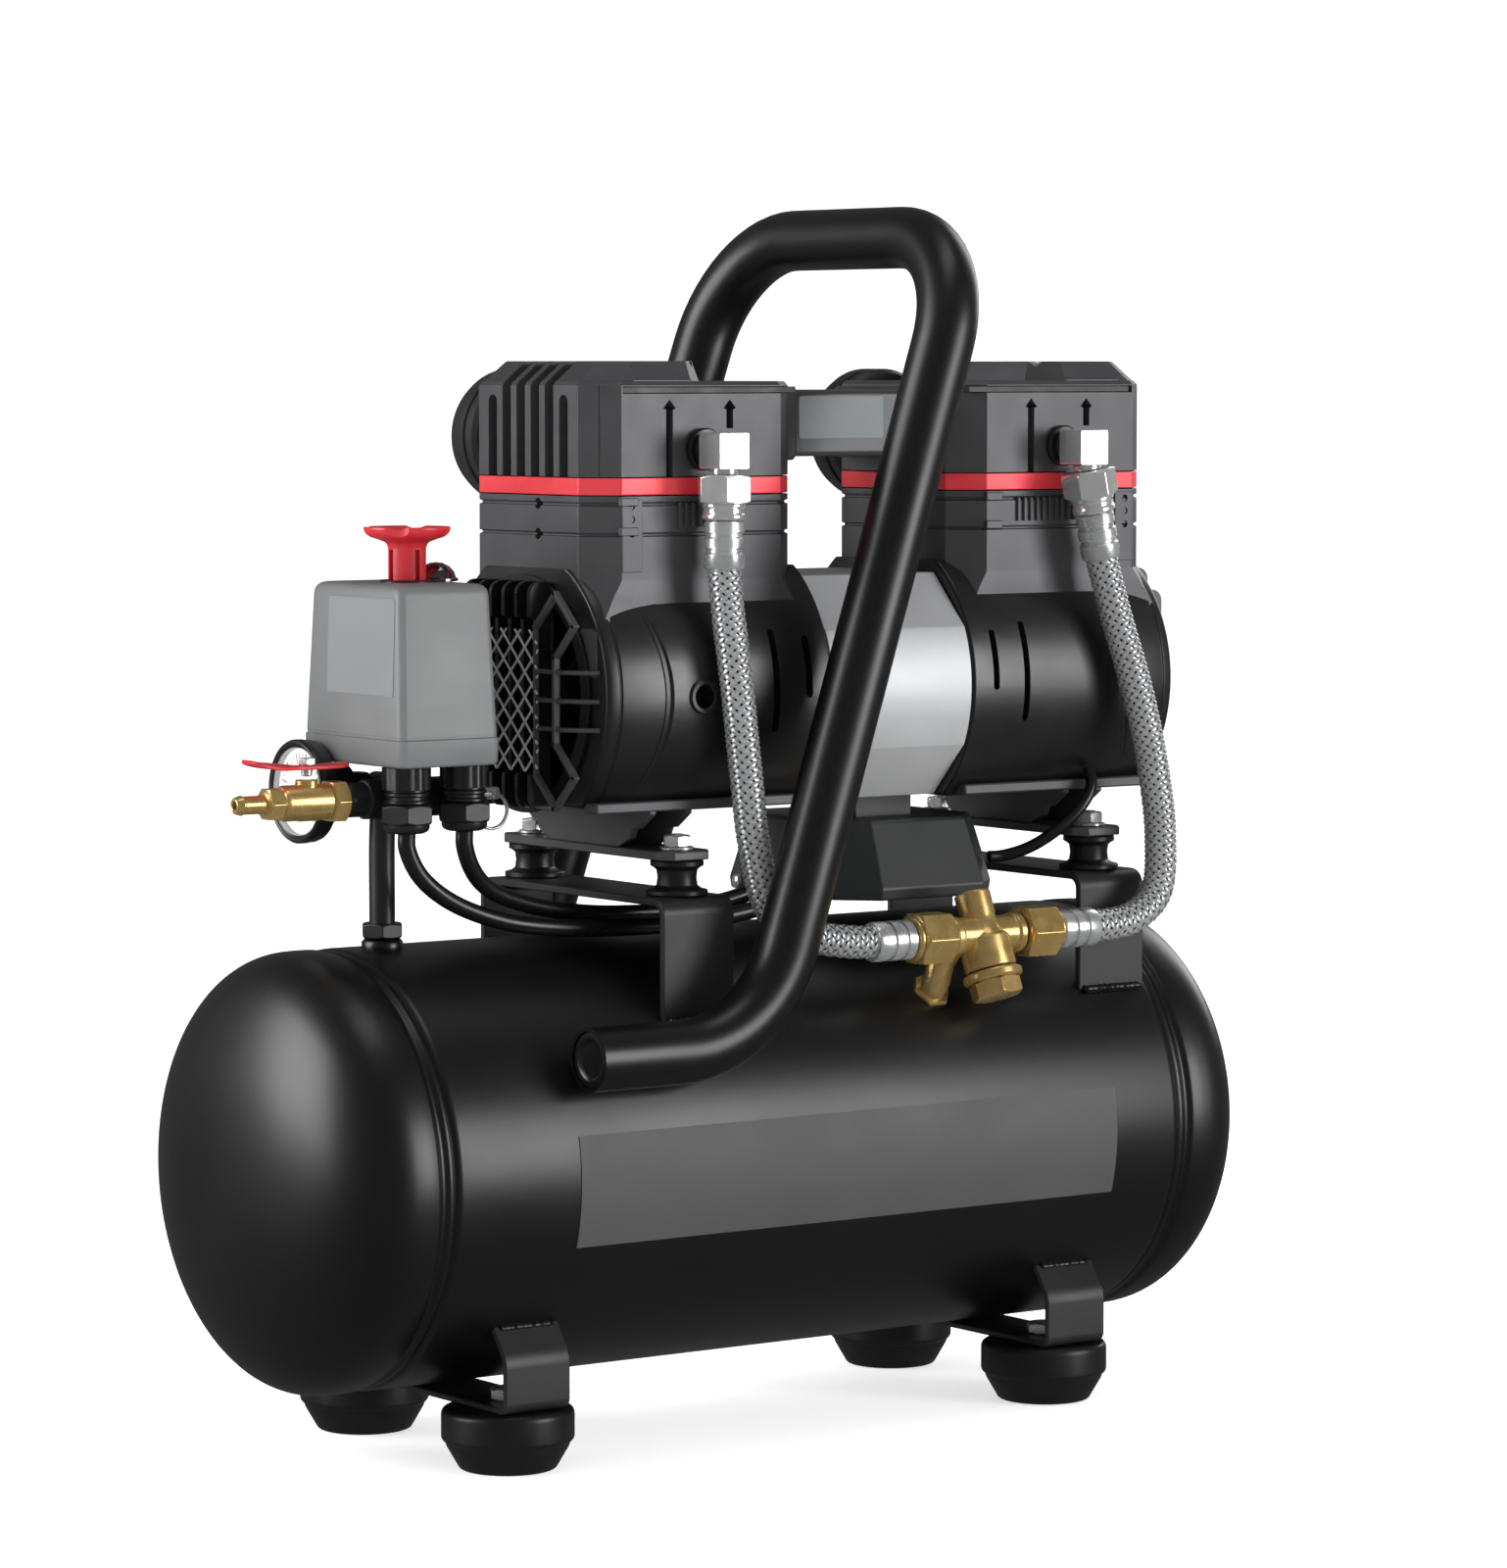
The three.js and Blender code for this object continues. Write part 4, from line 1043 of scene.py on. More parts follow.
def eight(x, half_x, half_y, chamfer):
    """A rectangle with its corners cut off, as (x, y)."""
    corners = []
    for sx, sy in ((1, 1), (-1, 1), (-1, -1), (1, -1)):
        long = (x + sx * half_x, sy * (half_y - chamfer))
        wide = (x + sx * (half_x - chamfer), sy * half_y)
        corners += [long, wide] if sx * sy > 0 else [wide, long]
    return corners


# %% Block
BLOCK = {"x": 49.6, "y": 47.0, "chamfer": 12.0, "grooves": (354.3, 366.0)}
units = {side: span(f"head_gasket_{side}")[2].x for side in SIDES}
block_top = span("head_gasket_left")[0].z - 0.3


def block_sections(x):
    """(height, outline) rows: flared into the drum, straight, with two fine grooves."""
    rows = [(300, 51.0, 50.5, 0.6), (317, 51.0, 50.5, 0.8), (330, 50.2, 47.6, 8.0), (337, 49.6, 47.0, 12.0)]
    for z in BLOCK["grooves"]:
        rows += [(z - 0.7, 49.6, 47.0, 12.0), (z - 0.5, 48.7, 46.1, 12.0)]
        rows += [(z + 0.5, 48.7, 46.1, 12.0), (z + 0.7, 49.6, 47.0, 12.0)]
    rows.append((block_top, 49.6, 47.0, 12.0))
    return [(z, eight(x, hx, hy, c)) for z, hx, hy, c in rows]


def crescent(sign):
    """The curved parting line: thickest at mid height, and gone where it meets the block."""
    points, sizes = [], []
    for i in range(41):
        turn = math.radians(-52 + 104 * i / 40)
        out = 112.5 + 12.0 * (math.sin(turn) / math.sin(math.radians(49))) ** 2
        near = Vector((-61.2 * math.cos(turn), 61.2 * math.sin(turn), out))
        points.append(outward(sign) @ near)
        sizes.append(0.35 + 1.0 * math.cos(turn * 1.5))
    return carried(disc(1.9, 10), points, sizes)


def slot(out, low, high, sign, near=-1, width=3.0):
    """A round-ended upright slot through the drum's flank."""
    half = width / 2
    corners = [(-half, low), (half, low), (half, high), (-half, high)]
    outline = [(out + a, b) for a, b in soften(corners, half * 0.95, 4)]
    place = Matrix(((sign, 0, 0, MOTOR.x), (0, 0, near, 0), (0, 1, 0, 0), (0, 0, 0, 1)))
    return prism(outline, 50, 70, place)


for side, sign in SIDES.items():
    x = units[side]
    drum = stacked(drum_sections(), outward(sign))
    housing = piece(
        f"bell_housing_{side}", drum, bell_paint, replaces=f"crankcase_{side}", bevel=0.5, crease=28
    )
    hollow = turned([(0, 44), (42.5, 44), (42.5, 150), (0, 150)], outward(sign), 64)
    cuts = [hollow, crescent(sign)]
    for near in (-1, 1):
        cuts += [slot(46.2, 290, 314, sign, near), slot(61.8, 277, 317, sign, near)]
    # both units are one casting, turned half round, so its port faces opposite ways
    port_x = MOTOR.x + sign * DRUM["port"]
    cuts.append(rod(4.4, (port_x, sign * 52, MOTOR.z), (port_x, sign * 64, MOTOR.z), 32))
    carve(housing, *cuts, crease=28)
    ring = [(4.4, 58.4), (4.4, 60.6), (4.9, 61.1), (6.2, 61.1), (6.8, 60.5), (6.8, 58.4)]
    rim = turned([(r, sign * y) for r, y in ring], axis_y(port_x, MOTOR.z), 40)
    piece(f"port_rim_{side}", rim, bell_paint, crease=40)

    body = stacked(block_sections(x))
    body = piece(f"cylinder_block_{side}", body, cast_paint, bevel=0.35, crease=20)
    bore = rod(27.9, (x, 0, 290), (x, 0, 380), 64)
    holes = []
    outer = x + sign * BLOCK["x"]
    for z in BLOCK["grooves"]:
        holes.append(rod(2.2, (outer - 4, sign * 7, z), (outer + 4, sign * 7, z), 24))
    room = rod(43, (x - 60, 0, MOTOR.z), (x + 60, 0, MOTOR.z), 48)
    carve(body, bore, room, *holes, crease=32)
print("block top at", round(block_top, 1), "and units at", units)

# %% [markdown]
# The block's near and far faces carry cast details: a raised strip with screw holes at the
# outer corner, and a row of fine upright ribs with short bars beside it. Below the drum a
# ledge runs along the casting, and a webbed plate stands on the rubber mounts.

# %% Cast details of block and crankcase
for side, sign in SIDES.items():
    x = units[side]
    outer = x + sign * BLOCK["x"]
    details = []
    for near in (-1, 1):
        face = near * BLOCK["y"]
        strip_x = sorted((outer - sign * 12.2, outer - sign * 21.5))
        low, high = sorted((face - near * 1.0, face + near * 0.55))
        corner = block((strip_x[0], low, 340.0), (strip_x[1], high, block_top - 1.2))
        corner = piece(f"corner_strip_{side}_{'near' if near < 0 else 'far'}", corner, cast_paint, bevel=0.3)
        edge = x + sign * (BLOCK["x"] - BLOCK["chamfer"] - 4.5)
        carve(
            corner,
            *[rod(1.5, (edge, near * 40, z), (edge, near * 52, z), 20) for z in (365.4, 360.2, 354.8)]
        )
        # the row of ribs sits on the same side of both castings, turned half round with them
        start, count = (22, 10) if near * sign < 0 else (11, 7)
        for i in range(count):
            rib = x + near * (start - i * 3.2)
            low, high = sorted((face - near * 1.0, face + near * 1.3))
            details.append(block((rib - 0.7, low, 357.0), (rib + 0.7, high, 366.4)))
        for z in (367.0, 355.6):
            low, high = sorted((face - near * 1.0, face + near * 1.4))
            ends = sorted((x + near * 38.5, x + near * 30.5))
            details.append(block((ends[0], low, z - 1.6), (ends[1], high, z + 1.6)))
    piece(f"block_details_{side}", merged(*details), cast_paint, bevel=0.3)

    mount_x = mounts[side]
    plate_z = span(f"rubber_mount_{side}_near")[1].z - 6.3
    plate_outline = [(-60, -8), (-54, -12), (54, -12), (60, -8), (60, 8), (54, 12), (-54, 12), (-60, 8)]
    plate = prism([(mount_x + b, a) for a, b in plate_outline], plate_z - 3.5, plate_z)
    web_outline = [
        (-46, 251), (-46, 246), (-37, 240), (-34, 240), (-32, 236), (-24, 232), (24, 232),
        (32, 236), (34, 240), (37, 240), (46, 246), (46, 251),
    ]
    webs = [prism(web_outline, mount_x + d, mount_x + d + 3.2, axis_x()) for d in (-10, 6.8)]
    ledges = []
    for near in (-1, 1):
        inner, end = sorted((MOTOR.x + sign * 40, MOTOR.x + sign * 138))
        low, high = sorted((near * 38, near * 47.5))
        ledges.append(block((inner, low, 247.4), (end, high, 251.6)))
    piece(f"crankcase_foot_{side}", merged(plate, *webs), cast_paint, bevel=0.5)
    piece(f"crankcase_ledges_{side}", merged(*ledges), cast_paint, bevel=0.7)
print("mount plates at height", round(plate_z, 1))

# %% [markdown]
# ## Fan guards
# Each crankcase breathes through a moulded guard. It has upright fins with rounded tops, a
# coarse diamond grille over the middle, an angled frame round the grille, and three bars
# that tie the frame to the drum. The fan turns behind it.

# %% Guard parts
GUARD = {"face": 150.0, "back": 139.9, "fin": 2.2, "pitch": 9.0}
def bar(a, b, width, low, high, place):
    """A straight bar between two points of a face, with its own depth range."""
    a, b = Vector(a), Vector(b)
    along = (b - a).normalized() * width / 2
    side = Vector((-along.y, along.x))
    corners = [a - along + side, b + along + side, b + along - side, a - along - side]
    return prism(corners, low, high, place)


# %% Build both guards
GRILLE = {"low": -29.0, "high": 25.5, "from": -23.5, "to": 34.0, "across": 10.0, "tall": 9.6, "wire": 0.5}
# each frame is an upper and a lower diamond with an upright bar between them
FRAME = [
    (-22, 27), (-35.9, 40), (-49, 28), (-35.8, 15.5), (-35.6, -17.7), (-49, -30), (-35.5, -42.6),
    (-22, -30.5),
]
for side, sign in SIDES.items():
    # the right-hand guard is the same moulding turned half round, so its frame is at the back
    place = outward(sign) @ Matrix.Diagonal((-sign, 1, 1, 1))
    parts = [turned([(41, 139.8), (46.5, 139.8), (46.5, 141.2), (41, 141.2)], outward(sign), 72)]
    frame_parts = []
    for i in range(-2, 5):
        y = i * GUARD["pitch"]
        top = 44.0 if abs(y) < 28 else 44.0 - (abs(y) - 28) * 1.1
        fin_side = [
            (GUARD["back"] + 0.4, -top), (GUARD["face"], -top), (GUARD["face"], top),
            (GUARD["back"] + 0.4, top),
        ]
        outline = soften(fin_side, [0.2, 6.0, 6.0, 0.2], 6)
        if -24 < y < 36:
            # behind the grille the fins stand back, so the grille lies over them
            back = GUARD["face"] - 3.0
            step = [
                (GUARD["back"] + 0.4, -top), (GUARD["face"], -top), (GUARD["face"], -30.5), (back, -29.5),
                (back, 29.5), (GUARD["face"], 30.5), (GUARD["face"], top), (GUARD["back"] + 0.4, top),
            ]
            outline = soften(step, [0.2, 6, 0.8, 0.8, 0.8, 0.8, 6, 0.2], 5)
        fin_place = Matrix(((sign, 0, 0, MOTOR.x), (0, 0, 1, -sign * y), (0, 1, 0, MOTOR.z), (0, 0, 0, 1)))
        parts.append(prism(outline, -GUARD["fin"] / 2, GUARD["fin"] / 2, fin_place))
    for a, b in zip(FRAME, FRAME[1:]):
        frame_parts.append(bar(a, b, 1.9, GUARD["face"] - 2.4, GUARD["face"] + 0.3, place))
    frame_parts.append(bar(FRAME[0], FRAME[-1], 1.2, GUARD["face"] - 2.0, GUARD["face"] + 0.2, place))
    for z in (10, -1, -12):
        path = [
            (-24, GUARD["face"] - 0.8), (-40, GUARD["face"] - 1.4), (-47, GUARD["face"] - 6),
            (-52, GUARD["back"] - 0.6),
        ]
        line = [place @ Vector((y, z, out)) for y, out in soften(path, 5, 5, closed=False)]
        frame_parts.append(tube(0.95, line, 12))
    piece(f"guard_frame_{side}", merged(*frame_parts), cast_paint, bevel=0.25)
    piece(f"fan_guard_{side}", merged(*parts), black_abs, replaces=f"end_cover_{side}", bevel=0.35)

    wires = []
    rise = GRILLE["tall"] / GRILLE["across"]
    middle = (GRILLE["from"] + GRILLE["to"]) / 2
    count = int((GRILLE["to"] - GRILLE["from"]) / GRILLE["across"]) + 8
    for lean in (-1, 1):
        for i in range(-count, count + 1):
            foot = middle + i * GRILLE["across"]
            ends = []
            for z in (GRILLE["low"], GRILLE["high"]):
                ends.append(Vector((foot + lean * z / rise, z)))
            a, b = ends
            # trim to the grille's left and right edges
            for edge, keep in ((GRILLE["from"], 1), (GRILLE["to"], -1)):
                if (a.x - edge) * keep < 0 and (b.x - edge) * keep < 0:
                    a = None
                    break
                if (a.x - edge) * keep < 0:
                    a = a.lerp(b, (edge - a.x) / (b.x - a.x))
                if (b.x - edge) * keep < 0:
                    b = b.lerp(a, (edge - b.x) / (a.x - b.x))
            if a is None or (b - a).length < 1.5:
                continue
            level = GUARD["face"] - 0.6 + lean * 0.25
            wires.append(tube(GRILLE["wire"], [place @ Vector((*a, level)), place @ Vector((*b, level))], 8))
    # the grille wires take the light grey of painted highlight
    piece(f"grille_{side}", merged(*wires), grille_highlight_grey, crease=60)
print("guards with", len(wires), "grille wires each")

# %% [markdown]
# ## Gaskets and heads
# A red anodised plate sits between block and head. The head is a casting with cooling slots
# on its outer end, a shadow gap under its lid with a black strip of painted shade in it,
# arrow-topped slots on its long faces, and a lid whose outer edge is sloped, so the fins run up over the
# slope.

# %% Gasket plates
for side in SIDES:
    low, high, gasket = span(f"head_gasket_{side}")
    plate = prism(eight(gasket.x, BLOCK["x"], BLOCK["y"], BLOCK["chamfer"]), low.z, high.z)
    plate = piece(
        f"gasket_plate_{side}", plate, red_plate, replaces=f"head_gasket_{side}", bevel=0.5, crease=20
    )
    carve(plate, rod(24, (gasket.x, 0, low.z - 2), (gasket.x, 0, high.z + 2), 64), crease=32)

# %% Cylinder heads
HEAD = {"slope": 11.0, "shoulder": 411.6, "ledge": 413.2, "lid_reach": 8.0, "slot": 6.0, "pitch": 10.0}
head_low, head_high, _ = span("cylinder_head_left")


def head_body(x, sign):
    """Sides up to a ledge, and a raised lid over the outer two thirds, sloped at its end."""
    inner = BLOCK["x"] + HEAD["lid_reach"]
    rows = [(head_low.z, 0, 0, 0, 0), (HEAD["shoulder"], 0, 0, 0, 0), (HEAD["ledge"], 1.2, 1.2, 1.0, 0)]
    rows += [(HEAD["ledge"], 1.4, inner, 1.6, 0), (head_high.z, HEAD["slope"], inner + 2.5, 5.5, 2.5)]
    sections = []
    for z, outset, inset, sides, ease in rows:
        wide = BLOCK["x"] - (outset + inset) / 2 if inset < 20 else (inner - outset - (inset - inner)) / 2
        middle = x + sign * (BLOCK["x"] - outset - wide)
        sections.append((z, eight(middle, wide, BLOCK["y"] - sides, BLOCK["chamfer"] - ease)))
    return stacked(sections)


def arrow_slot(x, low, high, near, width=3.2):
    """An upright slot with a pointed head, cut into a long face."""
    half = width / 2
    outline = [
        (-half, low), (half, low), (half, high - 4), (half + 1.4, high - 3.4), (0, high),
        (-half - 1.4, high - 3.4), (-half, high - 4),
    ]
    depth = sorted((near * (BLOCK["y"] - 5.0), near * (BLOCK["y"] + 2)))
    return prism([(x + a, b) for a, b in outline], *depth, axis_y())


for side, sign in SIDES.items():
    x = units[side]
    outer = x + sign * BLOCK["x"]
    head = piece(
        f"head_{side}", head_body(x, sign), cast_paint, replaces=f"cylinder_head_{side}", bevel=0.4,
        crease=20,
    )
    cuts = []
    for i in range(6):
        y = (i - 2.5) * HEAD["pitch"]
        half = HEAD["slot"] / 2
        if i in (0, 5):
            corners = [
                (y - half, head_low.z - 1), (y + half, head_low.z - 1), (y + half, 408), (y - half, 408)
            ]
            ends = sorted((outer - sign * 6, outer + sign * 4))
            cuts.append(prism(soften(corners, [0.3, 0.3, 2.9, 2.9], 5), *ends, axis_x()))
            continue
        deep = 7.5
        side_view = [
            (outer + sign * 5, head_low.z - 1), (outer - sign * deep, head_low.z - 1),
            (outer - sign * deep, HEAD["shoulder"] - 4),
            (outer - sign * (HEAD["slope"] + 6.5), head_high.z + 2),
            (outer + sign * 5, head_high.z + 2),
        ]
        cuts.append(prism(side_view, y - half, y + half, axis_y()))
    for near in (-1, 1):
        gap_x = sorted((outer - sign * (BLOCK["chamfer"] + 0.6), x - sign * (BLOCK["x"] - 3.5)))
        gap_y = sorted((near * (BLOCK["y"] - 5), near * (BLOCK["y"] + 4)))
        cuts.append(block((gap_x[0], gap_y[0], 408.4), (gap_x[1], gap_y[1], 411.2)))
        # the slot on the left of each face is full height, the one above the elbow is short
        cuts.append(arrow_slot(x + near * 15.2, head_low.z - 1, 406.2, near))
        cuts.append(arrow_slot(x - near * 13.2, 395.0, 406.2, near))
        # a saw-thin line divides each outer corner into two facets
        corner = Vector((outer - sign * BLOCK["chamfer"] / 2, near * (BLOCK["y"] - BLOCK["chamfer"] / 2), 0))
        cuts.append(rod(0.5, corner + Z * 377, corner + Z * 412, 8))
    top = head_high.z
    bolt_spots = [(x + sign * dx, dy) for dx in (0, 28) for dy in (-31, 31)]
    wells = [rod(5.4, (spot_x, y, top - 3), (spot_x, y, top + 3), 32) for spot_x, y in bolt_spots]
    carve(head, *cuts, *wells, crease=32)
    # black rubber strips sit in the shadow gaps, a little behind the face: painted shade, so the gaps read
    # dark under the front light
    tabs, gap_shades = [], []
    for near in (-1, 1):
        shade_x = sorted((outer - sign * (BLOCK["chamfer"] + 0.9), x - sign * (BLOCK["x"] - 3.8)))
        shade_y = sorted((near * (BLOCK["y"] - 4.9), near * (BLOCK["y"] - 1.3)))
        gap_shades.append(block((shade_x[0], shade_y[0], 408.5), (shade_x[1], shade_y[1], 411.1)))
        span_x = sorted((outer - sign * 18, outer - sign * 46))
        span_y = sorted((near * 40.5, near * 45.6))
        tabs.append(block((span_x[0], span_y[0], 410.8), (span_x[1], span_y[1] + 0.9, 414.4)))
    piece(f"head_clips_{side}", merged(*tabs), cast_paint, bevel=0.8)
    piece(f"head_seals_{side}", merged(*gap_shades), rubber, bevel=0.3)
    bolts = []
    bolt = [(0, -3), (4.2, -3), (4.2, -0.7), (3.7, -0.2), (2.2, -0.2), (2.0, -2), (0, -2)]
    for spot_x, y in bolt_spots:
        bolts.append(turned([(r, top + z) for r, z in bolt], axis_z(spot_x, y), 32))
    piece(f"head_bolts_{side}", merged(*bolts), zinc, bevel=0.15)
print("heads from", round(head_low.z, 1), "to", round(head_high.z, 1))

# %% [markdown]
# ## Silencers and the duct
# Behind each head a round silencer muffles the air going in: a moulded can with a domed
# cap and a knurled rim. A rectangular duct joins the two heads so that they share one
# discharge, and carries a blank rating label.

# %% Silencers
for side in SIDES:
    low, high, can = span(f"silencer_{side}")
    radius = (high.x - low.x) / 2
    place = axis_y(can.x, can.z)
    body = [
        (0, high.y), (14, high.y), (21, high.y - 0.8), (25.2, high.y - 3.4), (radius, high.y - 7.5),
        (radius, 60.5),
        (radius - 0.9, 60), (radius - 0.9, 58.6), (radius, 58.1), (radius, 54), (radius - 1.6, 52.2),
        (12.5, 52.2), (12.5, 47.4), (0, 47.4),
    ]
    piece(
        f"silencer_can_{side}", turned(body, place, 96), bracket_paint, replaces=f"silencer_{side}",
        crease=40,
    )
    slots = []
    for i in range(28):
        turn = math.tau * i / 28
        a = Vector((can.x + 18.4 * math.cos(turn), high.y - 0.9, can.z + 18.4 * math.sin(turn)))
        b = Vector((can.x + 13.4 * math.cos(turn), high.y + 0.02, can.z + 13.4 * math.sin(turn)))
        slots.append(rod(0.55, a, b, 8))
    piece(f"silencer_ribs_{side}", merged(*slots), black_abs, crease=60)

# %% Duct between the heads
low, high, duct = span("crossover_duct")
half_y, half_z = (high.y - low.y) / 2, (high.z - low.z) / 2
ends = [(-half_y, -half_z), (half_y, -half_z), (half_y, half_z), (-half_y, half_z)]
small = [(y * 0.955, z * 0.9) for y, z in ends]
corner = soften(ends, 2.4, 4)
collar = soften(small, 2.2, 4)
rows = [
    (low.x, corner), (low.x + 5, corner), (low.x + 6.2, collar), (high.x - 6.2, collar),
    (high.x - 5, corner), (high.x, corner),
]
piece(
    "duct", stacked(rows, axis_x(duct.y, duct.z)), cast_paint, replaces="crossover_duct", bevel=0.4,
    crease=24,
)
label = soften([(low.x + 7.5, 390.5), (low.x + 49, 390.5), (low.x + 49, 407.2), (low.x + 7.5, 407.2)], 1.2, 4)
face = low.y + half_y * 0.045
piece("duct_label", prism(label, face - 0.35, face + 0.3, axis_y()), pale_label, bevel=0.08)
print("duct", [round(v) for v in high - low])

# %% [markdown]
# ## Elbows, nuts and braided hoses
# Compressed air leaves each head hot, so it goes down through a PTFE hose in stainless
# braid. A plated elbow screws into the head, a swivel nut clamps the hose's tail, and a
# crimped ferrule holds the braid. The braid is really woven here: two sets of flat ribbons
# wind opposite ways round a dark core, and each ribbon rises over one and dips under the
# next. Real wire is finer, so each ribbon stands for a bundle of wires.

# %% Where the hoses run
DROP = {"y": -62.0, "z": 387.0, "lean": {"left": 0.0, "right": 0.2}}
VALVE = Vector((81.0, -73.6, 194.0))
HOSE_POINTS = {
    "left": [
        (-36, -63.5, 330), (-35, -69, 296), (-30, -68, 262), (-24, -65.5, 233), (-14, -64, 207),
        (2, -66.5, 197.5), (17, -71, 194.6),
    ],
    "right": [
        (155, -66, 318), (162, -71, 288), (168.5, -73, 258), (171.5, -74.5, 230), (167, -77, 206),
        (154, -76.5, 196.5),
    ],
}


def drop_point(side, distance):
    """A point on the way down from an elbow; the right-hand one leans outwards."""
    lean = DROP["lean"][side]
    return Vector((units[side] + lean * distance, DROP["y"], DROP["z"] - math.sqrt(1 - lean**2) * distance))


def valve_point(sign, distance):
    return VALVE + X * sign * distance


# %% Elbows and upper nuts
for side, sign in SIDES.items():
    x = units[side]
    face = -BLOCK["y"]
    seat = turned(
        [
            (5.0, face - 0.3), (7.6, face - 0.3), (8.2, face - 1), (8.2, face - 3), (7.6, face - 3.8),
            (5.0, face - 3.8),
        ],
        axis_y(x, DROP["z"]), 48,
    )
    piece(f"elbow_seal_{side}", seat, black_abs, crease=40)
    half = 7.0
    corners = soften(
        [
            (x - half, DROP["z"] - 7.5), (x + half, DROP["z"] - 7.5), (x + half, DROP["z"] + 6.5),
            (x - half, DROP["z"] + 6.5),
        ],
        0.9, 3,
    )
    tail = turned(
        [
            (4.4, face - 3.6), (6.4, face - 3.6), (6.4, face - 5.4), (5.8, face - 6), (5.8, face - 8.2),
            (4.4, face - 8.2),
        ],
        axis_y(x, DROP["z"]), 40,
    )
    piece(f"elbow_tail_{side}", tail, black_abs, crease=36)
    elbow = merged(
        prism(corners, DROP["y"] - half, DROP["y"] + half, axis_y()),
        rod(4.3, (x, DROP["y"], DROP["z"]), (x, face, DROP["z"])),
        rod(5.6, drop_point(side, 7), drop_point(side, 9.3), 32),
    )
    piece(f"elbow_body_{side}", elbow, nickel, replaces=f"elbow_{side}", bevel=0.5)
    way = aim(drop_point(side, 9.6), drop_point(side, 30))
    nut = merged(
        hex_bar(19.4, 0, 11.2, way, bore=5.6),
        turned(
            [
                (5.6, 11.2), (8.8, 11.2), (8.8, 12.4), (8.2, 13), (8.2, 14.8), (8.8, 15.4), (8.8, 16.8),
                (8.2, 17.4), (5.6, 17.4),
            ],
            way, 40,
        ),
    )
    piece(f"swivel_nut_top_{side}", nut, nickel, replaces=f"hose_nut_top_{side}", bevel=0.25)

# %% Braid
BRAID = {"carriers": 10, "radius": 6.0, "lift": 0.40, "width": 1.85, "thick": 0.6, "pitch": 40.0}


def braid(path):
    """Two sets of ribbons, woven one over and one under, along a path."""
    frames = framed([Vector(p) for p in path])
    reach = [0.0]
    for a, b in zip(path, path[1:]):
        reach.append(reach[-1] + (b - a).length)
    total, carriers = reach[-1], BRAID["carriers"]
    steps = int(total / BRAID["pitch"] * carriers * 6)
    shapes, span_at = [], 0
    spots = []
    for i in range(steps + 1):
        distance = total * i / steps
        while span_at < len(path) - 2 and reach[span_at + 1] < distance:
            span_at += 1
        t = (distance - reach[span_at]) / (reach[span_at + 1] - reach[span_at])
        (p0, a0, b0), (p1, a1, b1) = frames[span_at], frames[span_at + 1]
        spots.append((p0.lerp(p1, t), a0.lerp(a1, t).normalized(), b0.lerp(b1, t).normalized(), distance))
    lean = math.atan(math.tau * BRAID["radius"] / BRAID["pitch"])
    half_turn = BRAID["width"] / 2 / math.cos(lean) / BRAID["radius"]
    for way in (-1, 1):
        for carrier in range(carriers):
            rings = []
            for point, a, b, distance in spots:
                turn = way * math.tau * distance / BRAID["pitch"] + math.tau * carrier / carriers
                # at each crossing one set is up and the other is down, and they swap at the next
                wave = way * math.cos(carriers * math.tau * distance / BRAID["pitch"])
                lift = BRAID["radius"] + BRAID["lift"] * wave
                ring = []
                for offset, height in (
                    (-half_turn, 0.0), (0.0, BRAID["thick"] / 2), (half_turn, 0.0),
                    (0.0, -BRAID["thick"] / 2),
                ):
                    angle, radius = turn + offset, lift + height
                    ring.append(point + (a * math.cos(angle) + b * math.sin(angle)) * radius)
                rings.append(ring)
            verts, faces = skin(rings)
            count = len(verts)
            shapes.append((verts, [*faces, [0, 1, 2, 3], [count - 4, count - 3, count - 2, count - 1]]))
    return merged(*shapes)


FERRULE = [
    (5.2, 0), (7.0, 0), (7.9, 0.7), (7.9, 4.4), (7.2, 5.0), (7.2, 6.2), (7.9, 6.8), (7.9, 10.4), (7.2, 11.0),
    (7.2, 12.2), (7.9, 12.8), (7.9, 17.6), (7.5, 18.6), (6.7, 19), (5.2, 19),
]
for side, sign in SIDES.items():
    top, bottom = drop_point(side, 46), valve_point(sign, 54)
    path = through([top, *HOSE_POINTS[side], bottom], 10)
    core = tube(5.5, path, 20)
    piece(f"hose_core_{side}", core, pvc, crease=60)
    piece(f"hose_braid_{side}", braid(path), wire, replaces=f"hose_{side}", crease=60)
    ends = []
    for mouth, inner in ((drop_point(side, 27.3), top), (valve_point(sign, 36.8), bottom)):
        way = aim(mouth, inner)
        ends.append(turned(FERRULE, way, 48))
        ends.append(rod(5.1, mouth, inner, 24))
    piece(f"ferrules_{side}", merged(*ends), zinc, crease=30)
    way = aim(valve_point(sign, 18.4), valve_point(sign, 40))
    nut = merged(
        hex_bar(19.4, 0, 16.0, way, bore=5.6),
        turned([(5.6, 16.0), (8.8, 16.0), (8.8, 17.2), (8.2, 18.0), (5.6, 18.0)], way, 40),
    )
    piece(f"swivel_nut_bottom_{side}", nut, brass, replaces=f"hose_nut_bottom_{side}", bevel=0.25)
    print("hose", side, round(path_length(path)), "mm between ferrules")

# %% [markdown]
# ## The check valve
# The check valve lets air into the tank and not back out. It is a brass tee between the two
# hoses, with a leaning barrel that holds the flap, a cap screwed into the barrel, and a
# port that drops into the tank behind it.

# %% Check valve
BARREL_WAY = Vector((0.05, -0.34, -0.94)).normalized()


def barrel_point(distance):
    """A point on the barrel's axis; positive distances run down and towards the hose side."""
    return VALVE + BARREL_WAY * distance


